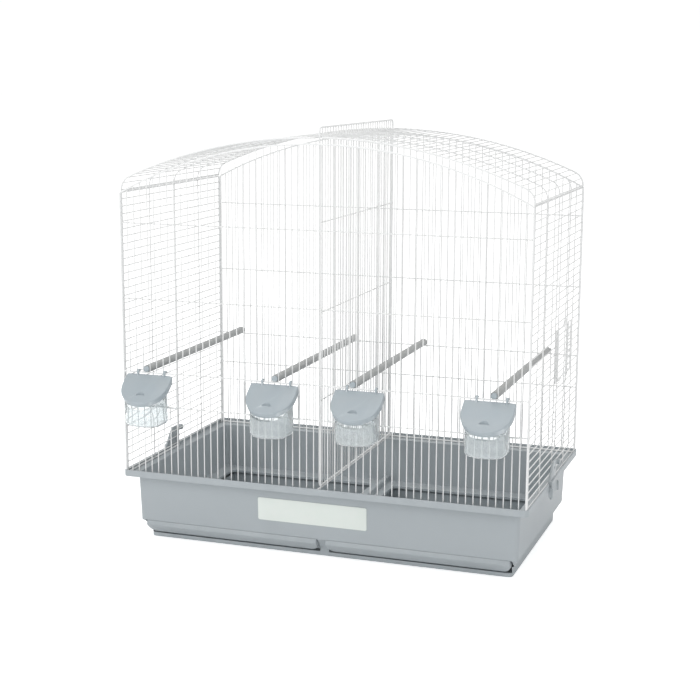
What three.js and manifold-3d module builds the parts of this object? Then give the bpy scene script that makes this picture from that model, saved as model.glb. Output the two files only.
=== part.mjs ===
// Bird cage with a plastic tray, two drawers, a wire body in two halves and a sliding divider.
// Millimetres, +Z up, the floor at height zero, the front towards -Y.

import * as THREE from "three";
import { mergeVertices } from "three/addons/utils/BufferGeometryUtils.js";
import Module from "manifold-3d";

const wasm = await Module();
wasm.setup();

// Wires

const barWire = 1.8;
const railWire = 2;
const frameWire = 3;
const wireGap = 0.25;
const fitGap = 0.3;
const barHalf = barWire / 2;
const railHalf = railWire / 2;
const frameHalf = frameWire / 2;
const railInset = barHalf + wireGap + railHalf;
const railBack = railInset + railHalf;
const roundSides = 12;
const gridStep = 0.001;

// Wire body: centre of wire to centre of wire

const cageWidth = 660;
const cageDepth = 381;
const rimTop = 119.5;
const footDrop = 5.5;
const bodyHeight = 545;
const footHeight = rimTop - footDrop;
const archTop = footHeight + bodyHeight;
const archRadius = 790;
const shoulderRadius = 24;
const endArchDrop = 9.5;
const endArchRadius = 706;
const endArchSteps = 20;
const frontBarGaps = 57;
const frontBarPitch = cageWidth / frontBarGaps;
const sideBarPitch = 11.85;
const railRises = [114, 169, 286.5, 406.5];
const railHeights = railRises.map((rise) => footHeight + rise);
const stiffenerGaps = 4;
const slotHalfWidth = 5.5;
const sideX = cageWidth / 2;
const frontY = cageDepth / 2;
const sideEdgeY = frontY - railBack - fitGap - frameHalf;
const stiffenerPitch = (2 * sideEdgeY) / stiffenerGaps;
const sideFirstBar = footHeight + frameHalf + barWire * 2;

// Roof arch, whose small shoulder circles touch the large one from inside, and the lower arch of the ends

const archCentreHeight = archTop - archRadius;
const shoulderX = sideX - shoulderRadius;
const shoulderReach = archRadius - shoulderRadius;
const shoulderHeight = archCentreHeight + Math.sqrt(shoulderReach ** 2 - shoulderX ** 2);
const shoulderAngle = Math.asin(shoulderX / shoulderReach);
const shoulderSteps = 4;
const archSteps = 10;
const roofEndX = slotHalfWidth + frameHalf;
const roofEndHeight = archCentreHeight + Math.sqrt(archRadius ** 2 - roofEndX ** 2);
const endArchCentreHeight = archTop - endArchDrop - endArchRadius;
const shoulderLength = shoulderRadius * (Math.PI / 2 - shoulderAngle);
const archLength = archRadius * (shoulderAngle - Math.asin(roofEndX / archRadius));
const roofBarGaps = Math.round((shoulderLength + archLength) / sideBarPitch);
const sideTop = shoulderHeight - frameWire - fitGap;
const sideBarCount = 1 + Math.floor((sideTop - frameHalf - barHalf - sideFirstBar) / sideBarPitch);

// Feeder ports in the front grille, by bar number

const portSpans = [
  [0, 8],
  [18, 26],
  [30, 38],
  [48, 56],
];
const portBottom = railHeights[0];
const portTop = railHeights[1];

// Tray

const lipWall = 2.2;
const rimPlay = 0.4;
const rimHeight = 10.5;
const rimWidth = cageWidth + frameWire + 2 * (lipWall + rimPlay);
const rimDepth = cageDepth + frameWire + 2 * (lipWall + rimPlay);
const rimBottom = rimTop - rimHeight;
const ledgeHeight = footHeight - frameHalf - fitGap;
const flangeWall = 2;
const rimOverEnds = 16;
const rimOverFront = 18.8;
const wallLeanEnds = 2.6;
const wallLeanFront = 2.5;
const plinthStepEnds = 11;
const plinthStepFront = 16.6;
const plinthLean = 0.7;
const wallTopWidth = rimWidth - 2 * rimOverEnds;
const wallTopDepth = rimDepth - 2 * rimOverFront;
const wallFootWidth = wallTopWidth - 2 * wallLeanEnds;
const wallFootDepth = wallTopDepth - 2 * wallLeanFront;
const wallFootHeight = 32;
const plinthTopHeight = 14.3;
const plinthTopWidth = wallFootWidth - 2 * plinthStepEnds;
const plinthTopDepth = wallFootDepth - 2 * plinthStepFront;
const plinthWidth = plinthTopWidth - 2 * plinthLean;
const plinthDepth = plinthTopDepth - plinthLean;
const trayWall = 2.5;
const shelfTop = 36;
const shelfWidth = 12;
const floorPlateTop = 6.5;
const floorPlateBottom = 4;
const skirtWall = 3;
const pillarWidth = 15;
const ridgeWidth = 8;
const ridgeTop = 46;
const bayWall = 2;
const bayWidth = plinthWidth / 2 - pillarWidth / 2 - bayWall;
const rimCornerRadius = 3;
const wallCornerRadius = 9;
const plinthCornerRadius = 4;
const cornerSteps = 3;

// Drawers

const drawerFrontGap = 8;
const drawerFrontShort = 1.2;
const drawerFrontWidth = plinthTopWidth / 2 - drawerFrontShort - drawerFrontGap;
const drawerSlot = 3.7;
const cornerPocketDepth = 25;
const cornerPocketRise = 5.2;
const cornerPocketWall = 0.7;
const drawerTopHeight = wallFootHeight - fitGap;
const drawerBrowHeight = 25;
const drawerBrowOut = 19.6;
const drawerTopOut = 17.6;
const drawerFootOut = 4;
const drawerFootHeight = 10;
const drawerCornerRadius = 12;
const drawerPlay = 0.7;
const drawerEndPlay = 10;
const drawerFloorGap = 3.5;
const drawerWall = 2;
const drawerBackPlay = 3.5;
const drawerLength = plinthDepth - trayWall - drawerBackPlay;
const drawerRimHeight = 27.5;

// Latches on the tray rim

const latchWall = 3;
const latchFrontY = -39;
const latchBackY = 4;
const latchApexRise = 29;
const latchApexHeight = rimTop + latchApexRise;
const latchApexWidth = 20;
const latchPlay = 0.6;
const latchPivotX = rimWidth / 2 + latchPlay + latchWall / 2;
const latchPivotDrop = 17.5;
const latchPivotHeight = rimTop - latchPivotDrop;
const latchTail = 8;
const latchFootHeight = latchPivotHeight - latchTail;
const latchKneeRise = 3;
const latchKneeHeight = rimTop + latchKneeRise;
const latchPinRadius = 2;
const latchHoleRadius = 3;
const latchHoleRise = 17.5;
const latchHoleHeight = rimTop + latchHoleRise;
const latchArmHeight = 5;
const latchKnobRadius = 5;
const latchKnobY = 22;
const latchKnobRise = 21.5;
const latchKnobHeight = rimTop + latchKnobRise;
const lugWall = 3;
const lugPlay = 0.5;
const lugRim = 1.9;
const lugTail = 4;
const lugTopHeight = footHeight;
const lugFootHeight = latchPivotHeight - lugTail;
const lugOutX = latchPivotX + latchPinRadius + lugRim;

// Label

const labelLeftX = -106;
const labelWidth = 182;
const labelHeight = 37;
const labelRise = 22.5;
const labelBottomHeight = wallFootHeight + labelRise;
const labelWall = 0.6;

// Divider

const dividerRise = 15;
const dividerTop = archTop + dividerRise;
const dividerPlay = 5.85;
const dividerHalfDepth = frontY - railBack - frameHalf - dividerPlay;
const dividerGaps = 30;
const dividerRailStep = 137.2;
const dividerRestHeight = footHeight + frameWire + fitGap;
const dividerFoot = dividerRestHeight + frameHalf + fitGap;

// Side door, in the right end wall only

const doorSide = 1;
const doorLowBarCount = 13;
const doorHighBarCount = 20;
const doorLow = sideFirstBar + doorLowBarCount * sideBarPitch;
const doorHigh = sideFirstBar + doorHighBarCount * sideBarPitch;
const doorNearY = 0;
const doorFarY = stiffenerPitch;
const doorLap = 4;
const doorWire = 2.4;
const doorLoopInner = 2.5;
const doorLoopOuter = 4.2;
const doorLoopWidth = 2.4;
const doorLoopInset = 16;
const doorLoopNeck = 7;
const doorBarGaps = 8;
const doorHalf = doorWire / 2;
const doorPlaneX = frameHalf + fitGap + doorWire;
const doorTabWidth = 22;
const doorTabRise = 9;

// Perches

const perchBars = [3.5, 22.5, 33.5, 52.5];
const perchRadius = 6.5;
const perchOut = 2.5;
const perchHalfLength = frontY + perchOut;
const perchGrooveX = frontBarPitch / 2 - barHalf - fitGap;
const perchGrooveHalf = barHalf + fitGap;
const perchSeatDepth = 2.7;
const perchHeight = portTop + frameHalf + fitGap + perchRadius - perchSeatDepth;
const perchSides = 14;

// Feeders, whose middles and hooks are placed by bar number so that the hooks miss the bars

const feederBars = [4, 22.5, 34.5, 52];
const hoodHookGaps = 4;
const hoodHookSpacing = hoodHookGaps * frontBarPitch;
const hoodHookShift = frontBarPitch / 4;
const hoodWidth = 79.5;
const hoodBackWidth = 79;
const hoodLength = 60.8;
const hoodDepth = 9.5;
const hoodWall = 2;
const hoodEdge = 1;
const hoodTilt = (37 * Math.PI) / 180;
const hoodSideRun = 18.5;
const hoodHookRadius = 3.1;
const hoodHookWall = 1.4;
const hoodHookWidth = 3.4;
const hoodEdgeBack = 3.3;
const hoodEdgeDrop = 0.6;
const hoodNeck = 4;
const plugRadius = 9.5;
const plugDrop = 1.6;
const pocketRadius = 7.5;
const pocketShare = 0.85;
const pocketHeight = 14;
const pocketFromFront = 15;
const cupWidth = 63;
const cupDepthOut = 43.5;
const cupBackGap = 1;
const cupWall = 1.6;
const cupDrop = 25.5;
const cupBottom = portBottom - cupDrop;
const cupBottomRadius = 7;
const cupSideRun = 20;
const cupBackTop = portBottom + frameHalf + fitGap + barWire;
const cupHookWidth = 8;
const cupHookSpacing = 40;
const cupHookDrop = 2.2;
const cupLift = 3;
const cupRimDrop = hoodDepth + cupLift + fitGap;
const hoodPivotY = -frontY + (railBack - frameHalf) / 2;
const cupBackY = -frontY - frameHalf - cupBackGap;
const bowSteps = 16;
const bowPower = 2.2;
const pocketSteps = 8;

// Colours

const white = 0xf2f3f3;
const trayGrey = 0xa9afb2;
const hoodGrey = 0xb0babf;
const perchGrey = 0x8f9394;
const clear = 0xe4eaec;

// Solids

// A solid whose corners lie on a fine grid, so that faces meant to meet do meet.
function solidOf(geometry) {
  geometry.deleteAttribute("normal");
  geometry.deleteAttribute("uv");
  const merged = mergeVertices(geometry, gridStep);
  const vertProperties = merged.attributes.position.array.map((value) => Math.round(value / gridStep) * gridStep);
  const triVerts = new Uint32Array(merged.index.array);
  return new wasm.Manifold(new wasm.Mesh({ numProp: 3, vertProperties, triVerts }));
}

function geometryOf(solid) {
  const mesh = solid.getMesh();
  const geometry = new THREE.BufferGeometry();
  geometry.setAttribute("position", new THREE.BufferAttribute(mesh.vertProperties, 3));
  geometry.setIndex(new THREE.BufferAttribute(mesh.triVerts, 1));
  return geometry;
}

function joined(solids) {
  return solids.reduce((whole, piece) => whole.add(piece));
}

// A box between two values along each axis, in any order.
function box(x, y, z) {
  const size = [x, y, z].map(([a, b]) => Math.abs(b - a));
  const middle = [x, y, z].map(([a, b]) => (a + b) / 2);
  return solidOf(new THREE.BoxGeometry(...size).translate(...middle));
}

// A box of the given half sizes round a point.
function boxRound(point, halves) {
  const [x, y, z] = point.map((value, axis) => [value - halves[axis], value + halves[axis]]);
  return box(x, y, z);
}

function extruded(points, holes, depth) {
  const corners = (outline) => outline.map(([across, high]) => new THREE.Vector2(across, high));
  const shape = new THREE.Shape(corners(points));
  for (const hole of holes) shape.holes.push(new THREE.Path(corners(hole)));
  return new THREE.ExtrudeGeometry(shape, { depth, bevelEnabled: false }).rotateX(Math.PI / 2);
}

// An outline drawn across X and Z, extruded along Y.
function alongY(points, fromY, toY, holes = []) {
  const high = Math.max(fromY, toY);
  return solidOf(extruded(points, holes, Math.abs(toY - fromY)).translate(0, high, 0));
}

// An outline drawn across Y and Z, extruded along X.
function alongX(points, fromX, toX, holes = []) {
  const low = Math.min(fromX, toX);
  return solidOf(extruded(points, holes, Math.abs(toX - fromX)).rotateZ(Math.PI / 2).translate(low, 0, 0));
}

// A solid whose level outlines, all with as many points, are given from the bottom up.
function loft(levels) {
  const count = levels[0].points.length;
  const positions = [];
  const index = [];
  for (const { points, height } of levels) for (const [x, y] of points) positions.push(x, y, height);
  for (let level = 0; level < levels.length - 1; level++)
    for (let i = 0; i < count; i++) {
      const a = level * count + i;
      const b = level * count + ((i + 1) % count);
      index.push(a, b, b + count, a, b + count, a + count);
    }
  const top = (levels.length - 1) * count;
  for (let i = 1; i < count - 1; i++) index.push(0, i + 1, i, top, top + i, top + i + 1);
  const geometry = new THREE.BufferGeometry();
  geometry.setAttribute("position", new THREE.Float32BufferAttribute(positions, 3));
  geometry.setIndex(index);
  return solidOf(geometry);
}

// A rectangle with rounded corners, anticlockwise from above.
function roundedRectangle(width, depth, radius) {
  const points = [];
  for (let corner = 0; corner < 4; corner++)
    for (let step = 0; step <= cornerSteps; step++) {
      const turn = ((corner + step / cornerSteps) * Math.PI) / 2;
      const sx = corner === 0 || corner === 3 ? 1 : -1;
      const sy = corner < 2 ? 1 : -1;
      const x = sx * (width / 2 - radius) + radius * Math.cos(turn);
      const y = sy * (depth / 2 - radius) + radius * Math.sin(turn);
      points.push([x, y]);
    }
  return points;
}

// A rounded box that changes size from level to level.
function tub(levels) {
  return loft(levels.map(([height, ...size]) => ({ height, points: roundedRectangle(...size) })));
}

// Height of an end grille's top wire over a place across the cage.
function endArchHeight(x) {
  return endArchCentreHeight + Math.sqrt(endArchRadius ** 2 - x ** 2);
}

// Points along the roof from the right shoulder to a place near the middle, moved out by an offset.
function roofPath(endX, offset) {
  const points = [];
  for (let step = 0; step < shoulderSteps; step++) {
    const turn = Math.PI / 2 + ((shoulderAngle - Math.PI / 2) * step) / shoulderSteps;
    const reach = shoulderRadius + offset;
    points.push([shoulderX + reach * Math.sin(turn), shoulderHeight + reach * Math.cos(turn)]);
  }
  const endAngle = Math.asin(endX / archRadius);
  for (let step = 0; step <= archSteps; step++) {
    const turn = shoulderAngle + ((endAngle - shoulderAngle) * step) / archSteps;
    const reach = archRadius + offset;
    points.push([reach * Math.sin(turn), archCentreHeight + reach * Math.cos(turn)]);
  }
  return points;
}

// The same outline on the other side, its order kept anticlockwise.
function mirrored(points) {
  return points.map(([x, z]) => [-x, z]).reverse();
}

// Outline of a whole end panel, moved out by an offset.
function panelOutline(offset) {
  const half = sideX + offset;
  const low = footHeight - offset;
  const reach = endArchRadius + offset;
  const spread = Math.asin(half / reach);
  const points = [
    [-half, low],
    [half, low],
  ];
  for (let step = 0; step <= endArchSteps; step++) {
    const turn = spread - (2 * spread * step) / endArchSteps;
    points.push([reach * Math.sin(turn), endArchCentreHeight + reach * Math.cos(turn)]);
  }
  return points;
}

// Four wires in a rectangle, given the middles of the wires and half their thickness.
function ring(extrude, across, high, middle, half) {
  const outline = (grow) => [
    [across[0] - grow, high[0] - grow],
    [across[1] + grow, high[0] - grow],
    [across[1] + grow, high[1] + grow],
    [across[0] - grow, high[1] + grow],
  ];
  return extrude(outline(half), middle - half, middle + half, [outline(-half)]);
}

// Place of an upright bar by its number from the left, ends included.
function barX(number) {
  return (number - frontBarGaps / 2) * frontBarPitch;
}

// Front and back grilles: upright bars in one plane, level rails behind them.

function endGrille(ports) {
  const pieces = [alongY(panelOutline(frameHalf), -frameHalf, frameHalf, [panelOutline(-frameHalf)])];
  for (const z of railHeights) pieces.push(boxRound([0, railInset, z], [sideX, railHalf, railHalf]));
  for (const port of ports) pieces.push(ring(alongY, port.map(barX), [portBottom, portTop], 0, frameHalf));
  for (let number = 1; number < frontBarGaps; number++) {
    const x = barX(number);
    const across = [x - barHalf, x + barHalf];
    const inPort = ports.some(([first, last]) => number > first && number < last);
    const stretches = inPort
      ? [
          [footHeight, portBottom],
          [portTop, endArchHeight(x)],
        ]
      : [[footHeight, endArchHeight(x)]];
    for (const stretch of stretches) pieces.push(box(across, [-barHalf, barHalf], stretch));
  }
  return joined(pieces);
}

// Side grilles: level bars with upright stiffeners inside them, and a framed doorway on the door's side.

function sideBarHeight(number) {
  return sideFirstBar + number * sideBarPitch;
}

function sideGrille(side) {
  const x = side * sideX;
  const inset = x - side * railInset;
  const hasDoor = side === doorSide;
  const pieces = [ring(alongX, [-sideEdgeY, sideEdgeY], [footHeight, sideTop], x, frameHalf)];
  if (hasDoor) pieces.push(ring(alongX, [doorNearY, doorFarY], [doorLow, doorHigh], x, frameHalf));
  const sideMiddle = (footHeight + sideTop) / 2;
  const sideHalf = (sideTop - footHeight) / 2;
  for (let gap = 1; gap < stiffenerGaps; gap++)
    pieces.push(boxRound([inset, gap * stiffenerPitch - sideEdgeY, sideMiddle], [railHalf, railHalf, sideHalf]));
  for (let number = 0; number < sideBarCount; number++) {
    const z = sideBarHeight(number);
    const high = [z - barHalf, z + barHalf];
    const inDoor = hasDoor && number > doorLowBarCount && number < doorHighBarCount;
    const stretches = inDoor
      ? [
          [-sideEdgeY, doorNearY],
          [doorFarY, sideEdgeY],
        ]
      : [[-sideEdgeY, sideEdgeY]];
    for (const stretch of stretches) pieces.push(box([x - barHalf, x + barHalf], stretch, high));
  }
  return joined(pieces);
}

// Roof grilles: bars front to back over half the arch, with bent stiffeners under them.

// A strip bent along the roof between two offsets from the wire line.
function bentStrip(side, inner, outer, y, half) {
  const lower = roofPath(roofEndX, inner);
  const upper = roofPath(roofEndX, outer).reverse();
  const outline = [...lower, ...upper];
  return alongY(side > 0 ? outline.reverse() : mirrored(outline).reverse(), y - half, y + half);
}

// A roof bar, placed by the distance from the side along the roof wire.
function roofBar(side, travelled) {
  const onShoulder = travelled < shoulderLength;
  const turn = onShoulder
    ? Math.PI / 2 - travelled / shoulderRadius
    : shoulderAngle - (travelled - shoulderLength) / archRadius;
  const reach = onShoulder ? shoulderRadius : archRadius;
  const x = (onShoulder ? shoulderX : 0) + reach * Math.sin(turn);
  const z = (onShoulder ? shoulderHeight : archCentreHeight) + reach * Math.cos(turn);
  const geometry = new THREE.BoxGeometry(barWire, 2 * sideEdgeY, barWire);
  return solidOf(geometry.rotateY(side * turn).translate(side * x, 0, z));
}

function roofGrille(side) {
  const pieces = [];
  const endHalf = (frameHalf + railHalf) / 2;
  for (const y of [-sideEdgeY, sideEdgeY]) pieces.push(bentStrip(side, -frameHalf, frameHalf, y, frameHalf));
  for (const [x, z] of [
    [sideX, shoulderHeight],
    [roofEndX, roofEndHeight],
  ])
    pieces.push(boxRound([side * x, 0, z], [endHalf, sideEdgeY, endHalf]));
  for (let gap = 1; gap < stiffenerGaps; gap++) {
    const y = gap * stiffenerPitch - sideEdgeY;
    pieces.push(bentStrip(side, -railBack, railHalf - railInset, y, railHalf));
  }
  for (let number = 1; number < roofBarGaps; number++)
    pieces.push(roofBar(side, ((shoulderLength + archLength) * number) / roofBarGaps));
  return joined(pieces);
}

// Divider: upright bars across the depth, level rails beside them.

function dividerGrille() {
  const reach = dividerHalfDepth;
  const low = dividerFoot + frameHalf;
  const pieces = [ring(alongX, [-reach, reach], [low, dividerTop], 0, frameHalf)];
  for (let number = 1; number < dividerGaps; number++) {
    const y = (number - dividerGaps / 2) * ((2 * reach) / dividerGaps);
    pieces.push(box([-barHalf, barHalf], [y - barHalf, y + barHalf], [low, dividerTop]));
  }
  for (let z = low + dividerRailStep; z < archTop - dividerRailStep / 2; z += dividerRailStep)
    pieces.push(boxRound([railInset, 0, z], [railHalf, reach, railHalf]));
  return joined(pieces);
}

function dividerRest() {
  return boxRound([0, 0, dividerRestHeight], [frameHalf, frontY + frameHalf, frameHalf]);
}

// Side door: a small framed grille hung on two loops round the lower wire of its doorway.

function doorLoop(y) {
  const outline = [
    new THREE.Vector2(doorLoopInner, 0),
    new THREE.Vector2(doorLoopOuter, 0),
    new THREE.Vector2(doorLoopOuter, doorLoopWidth),
    new THREE.Vector2(doorLoopInner, doorLoopWidth),
    new THREE.Vector2(doorLoopInner, 0),
  ];
  const geometry = new THREE.LatheGeometry(outline, roundSides);
  return solidOf(geometry.translate(0, y - doorLoopWidth / 2, 0));
}

// Built round its hinge line, with the door standing up and its face towards the side given.
function sideDoor(side) {
  const x = side * doorPlaneX;
  const near = doorNearY - doorLap;
  const far = doorFarY + doorLap;
  const low = doorLoopNeck;
  const high = doorHigh - doorLow + doorLap;
  const pieces = [ring(alongX, [near, far], [low, high], x, doorHalf)];
  for (let number = 1; number < doorBarGaps; number++) {
    const z = low + ((high - low) * number) / doorBarGaps;
    pieces.push(box([x - barHalf, x + barHalf], [near, far], [z - barHalf, z + barHalf]));
  }
  for (const y of [doorNearY + doorLoopInset, doorFarY - doorLoopInset]) {
    const neck = [y - doorLoopWidth / 3, y + doorLoopWidth / 3];
    pieces.push(doorLoop(y));
    pieces.push(box([x - doorHalf, x + doorHalf], neck, [-doorHalf, low]));
  }
  const middle = (near + far) / 2;
  const tabHalf = doorTabWidth / 2;
  pieces.push(box([x - barHalf, x + barHalf], [middle - tabHalf, middle + tabHalf], [high, high + doorTabRise]));
  return joined(pieces);
}

// Tray

function trayLugs(side) {
  const near = latchFrontY - lugPlay;
  const far = latchBackY + lugPlay;
  const insideX = rimWidth / 2 - lipWall + frameHalf;
  const pieces = [];
  for (const [a, b] of [
    [near - lugWall, near],
    [far, far + lugWall],
  ]) {
    const lug = box([side * insideX, side * lugOutX], [a, b], [lugFootHeight, lugTopHeight]);
    const under = box([side * insideX, (side * rimWidth) / 2], [a, b], [lugFootHeight, rimBottom]);
    const bore = pinAcross(side, latchPinRadius + fitGap, a - lugWall, b + lugWall);
    pieces.push(lug.subtract(under).subtract(bore));
  }
  return joined(pieces);
}

function pinAcross(side, radius, fromY, toY) {
  const geometry = new THREE.CylinderGeometry(radius, radius, toY - fromY, roundSides);
  return solidOf(geometry.translate(side * latchPivotX, (fromY + toY) / 2, latchPivotHeight));
}

function tray() {
  const inside = (width) => width - 2 * trayWall;
  const outer = tub([
    [0, plinthWidth, plinthDepth, plinthCornerRadius],
    [plinthTopHeight, plinthTopWidth, plinthTopDepth, plinthCornerRadius],
    [wallFootHeight, wallFootWidth, wallFootDepth, wallCornerRadius],
    [ledgeHeight, wallTopWidth, wallTopDepth, wallCornerRadius],
  ]);
  const rim = tub([
    [rimBottom, rimWidth, rimDepth, rimCornerRadius],
    [rimTop, rimWidth, rimDepth, rimCornerRadius],
  ]);
  const rimInside = (low, high) =>
    tub([
      [low, rimWidth - 2 * lipWall, rimDepth - 2 * lipWall, rimCornerRadius - lipWall],
      [high, rimWidth - 2 * lipWall, rimDepth - 2 * lipWall, rimCornerRadius - lipWall],
    ]);
  const cavity = tub([
    [shelfTop, inside(wallFootWidth), inside(wallFootDepth), wallCornerRadius - trayWall],
    [rimTop, inside(wallTopWidth), inside(wallTopDepth), wallCornerRadius - trayWall],
  ]);
  let body = rim
    .subtract(rimInside(ledgeHeight, rimTop + lipWall))
    .subtract(rimInside(rimBottom - lipWall, ledgeHeight - flangeWall))
    .add(outer)
    .subtract(cavity);
  const halfPillar = pillarWidth / 2;
  const bayEnd = halfPillar + bayWidth;
  const behind = plinthDepth / 2 - trayWall;
  const seatEnd = drawerFrontGap + drawerFrontWidth + drawerSlot;
  for (const side of [-1, 1]) {
    const pocket = box(
      [side * (bayEnd - bayWall), side * (seatEnd - cornerPocketWall)],
      [-plinthDepth / 2 - fitGap, cornerPocketDepth - plinthDepth / 2],
      [plinthTopHeight + cornerPocketRise, wallFootHeight],
    );
    body = body
      .subtract(pocket)
      .subtract(box([side * halfPillar, side * bayEnd], [-rimDepth, behind], [floorPlateTop, wallFootHeight]))
      .subtract(
        box(
          [side * (halfPillar - fitGap), side * seatEnd],
          [-rimDepth, fitGap - plinthDepth / 2],
          [floorPlateTop, wallFootHeight],
        ),
      )
      .subtract(
        box(
          [side * (halfPillar + shelfWidth), side * (bayEnd - shelfWidth)],
          [shelfWidth - plinthDepth / 2, behind - shelfWidth],
          [wallFootHeight - trayWall, shelfTop + trayWall],
        ),
      )
      .subtract(
        box(
          [side * halfPillar, side * (plinthWidth / 2 - skirtWall)],
          [skirtWall - plinthDepth / 2, plinthDepth / 2 - skirtWall],
          [-skirtWall, floorPlateBottom],
        ),
      )
      .add(trayLugs(side));
  }
  const ridgeHalf = ridgeWidth / 2;
  const ridgeReach = (wallFootDepth - trayWall) / 2;
  return body.add(box([-ridgeHalf, ridgeHalf], [-ridgeReach, ridgeReach], [wallFootHeight, ridgeTop]));
}

// Drawer: an open tray behind a front whose face leans back under a brow.

function drawer(side) {
  const front = -plinthDepth / 2;
  const start = side * drawerFrontGap;
  const end = side * (drawerFrontGap + drawerFrontWidth);
  const face = alongX(
    [
      [front, drawerFootHeight],
      [front, drawerTopHeight],
      [front - drawerTopOut, drawerTopHeight],
      [front - drawerBrowOut, drawerBrowHeight],
      [front - drawerFootOut, drawerFootHeight],
    ],
    start,
    end,
  );
  const middle = (start + end) / 2;
  const half = drawerFrontWidth / 2;
  const corner = drawerCornerRadius;
  const outline = [
    [middle - half, drawerTopHeight],
    [middle - half, drawerFootHeight + corner],
  ];
  for (const [centre, from] of [
    [middle - half + corner, Math.PI],
    [middle + half - corner, (3 * Math.PI) / 2],
  ])
    for (let step = 0; step <= cornerSteps; step++) {
      const turn = from + (step * Math.PI) / 2 / cornerSteps;
      outline.push([centre + corner * Math.cos(turn), drawerFootHeight + corner + corner * Math.sin(turn)]);
    }
  outline.push([middle + half, drawerTopHeight]);
  const rounded = alongY(outline, front - 2 * drawerBrowOut, front + drawerWall);
  const near = side * (pillarWidth / 2 + drawerPlay);
  const far = side * (pillarWidth / 2 + bayWidth - drawerEndPlay);
  const back = front + drawerLength;
  const low = floorPlateTop + drawerFloorGap;
  const shell = box([near, far], [front, back], [low, drawerRimHeight]).subtract(
    box(
      [near + side * drawerWall, far - side * drawerWall],
      [front + drawerWall, back - drawerWall],
      [low + drawerWall, drawerTopHeight],
    ),
  );
  return face.intersect(rounded).add(shell);
}

// Latch: a plate with a tapering top above the rim, a tongue outside it, and a knob past the middle wire.

function latch(side) {
  const inner = sideX + frameHalf + fitGap;
  const tongue = latchPivotX - latchWall / 2;
  const width = [latchFrontY, latchBackY];
  const apexStart = latchBackY - latchApexWidth;
  const upper = alongX(
    [
      [latchFrontY, rimTop + fitGap],
      [latchBackY, rimTop + fitGap],
      [latchBackY, latchApexHeight],
      [apexStart, latchApexHeight],
      [latchFrontY, latchKneeHeight],
    ],
    side * inner,
    side * (inner + latchWall),
  );
  const knee = box([side * inner, side * (tongue + latchWall)], width, [rimTop + fitGap, latchKneeHeight]);
  const lower = box([side * tongue, side * (tongue + latchWall)], width, [latchFootHeight, latchKneeHeight]);
  const hole = new THREE.CylinderGeometry(latchHoleRadius, latchHoleRadius, 4 * latchWall, roundSides)
    .rotateZ(Math.PI / 2)
    .translate(side * (inner + latchWall / 2), (apexStart + latchBackY) / 2, latchHoleHeight);
  const arm = box(
    [side * inner, side * (inner + latchWall)],
    [apexStart, latchKnobY],
    [latchKnobHeight - latchArmHeight / 2, latchKnobHeight + latchArmHeight / 2],
  );
  const knob = new THREE.CylinderGeometry(latchKnobRadius, latchKnobRadius, 2 * latchWall, roundSides)
    .rotateZ(Math.PI / 2)
    .translate(side * (inner + latchWall), latchKnobY, latchKnobHeight);
  const pinReach = lugPlay + lugWall - fitGap;
  const pin = pinAcross(side, latchPinRadius, latchFrontY - pinReach, latchBackY + pinReach);
  return joined([upper, knee, lower, arm, solidOf(knob), pin]).subtract(solidOf(hole));
}

// Label: a bare plate lying on the leaning front wall.

function label() {
  const wallY = (z) => {
    const share = (z - wallFootHeight) / (ledgeHeight - wallFootHeight);
    return -(wallFootDepth + (wallTopDepth - wallFootDepth) * share) / 2 - fitGap / 2;
  };
  const low = labelBottomHeight;
  const high = low + labelHeight;
  return alongX(
    [
      [wallY(low), low],
      [wallY(high), high],
      [wallY(high) - labelWall, high],
      [wallY(low) - labelWall, low],
    ],
    labelLeftX,
    labelLeftX + labelWidth,
  );
}

// Perch: a rod held between two upright bars by grooves near both ends.
// Its ends are flattened underneath to sit on the port frames.

function perch() {
  const rod = solidOf(new THREE.CylinderGeometry(perchRadius, perchRadius, 2 * perchHalfLength, perchSides));
  const reach = 2 * perchRadius;
  const grooves = [];
  for (const end of [-frontY, frontY])
    for (const side of [-1, 1])
      grooves.push(
        box(
          [side * perchGrooveX, side * reach],
          [end - perchGrooveHalf, end + perchGrooveHalf],
          [-reach, reach],
        ),
      );
  const seat = [-reach, perchSeatDepth - perchRadius];
  const seatStart = frontY - railBack - fitGap;
  const seatEnd = perchHalfLength + reach;
  const seats = [
    box([-reach, reach], [-seatEnd, -seatStart], seat),
    box([-reach, reach], [seatStart, seatEnd], seat),
  ];
  return rod.subtract(joined(grooves)).subtract(joined(seats));
}

// Outline with a straight back edge at zero, sides that swell and a round front towards -Y.
function bowOutline(backWidth, width, length, sideRun) {
  const half = width / 2;
  const swell = (value) => Math.sign(value) * Math.abs(value) ** (2 / bowPower);
  const points = [[backWidth / 2, 0]];
  for (let step = 0; step <= bowSteps; step++) {
    const turn = (step * Math.PI) / bowSteps;
    points.push([half * swell(Math.cos(turn)), -sideRun - (length - sideRun) * swell(Math.sin(turn))]);
  }
  points.push([-backWidth / 2, 0]);
  return points.reverse();
}

// Cup: built with its back at y = 0 and standing on z = 0, hooks over the lower wire of the port.

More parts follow.
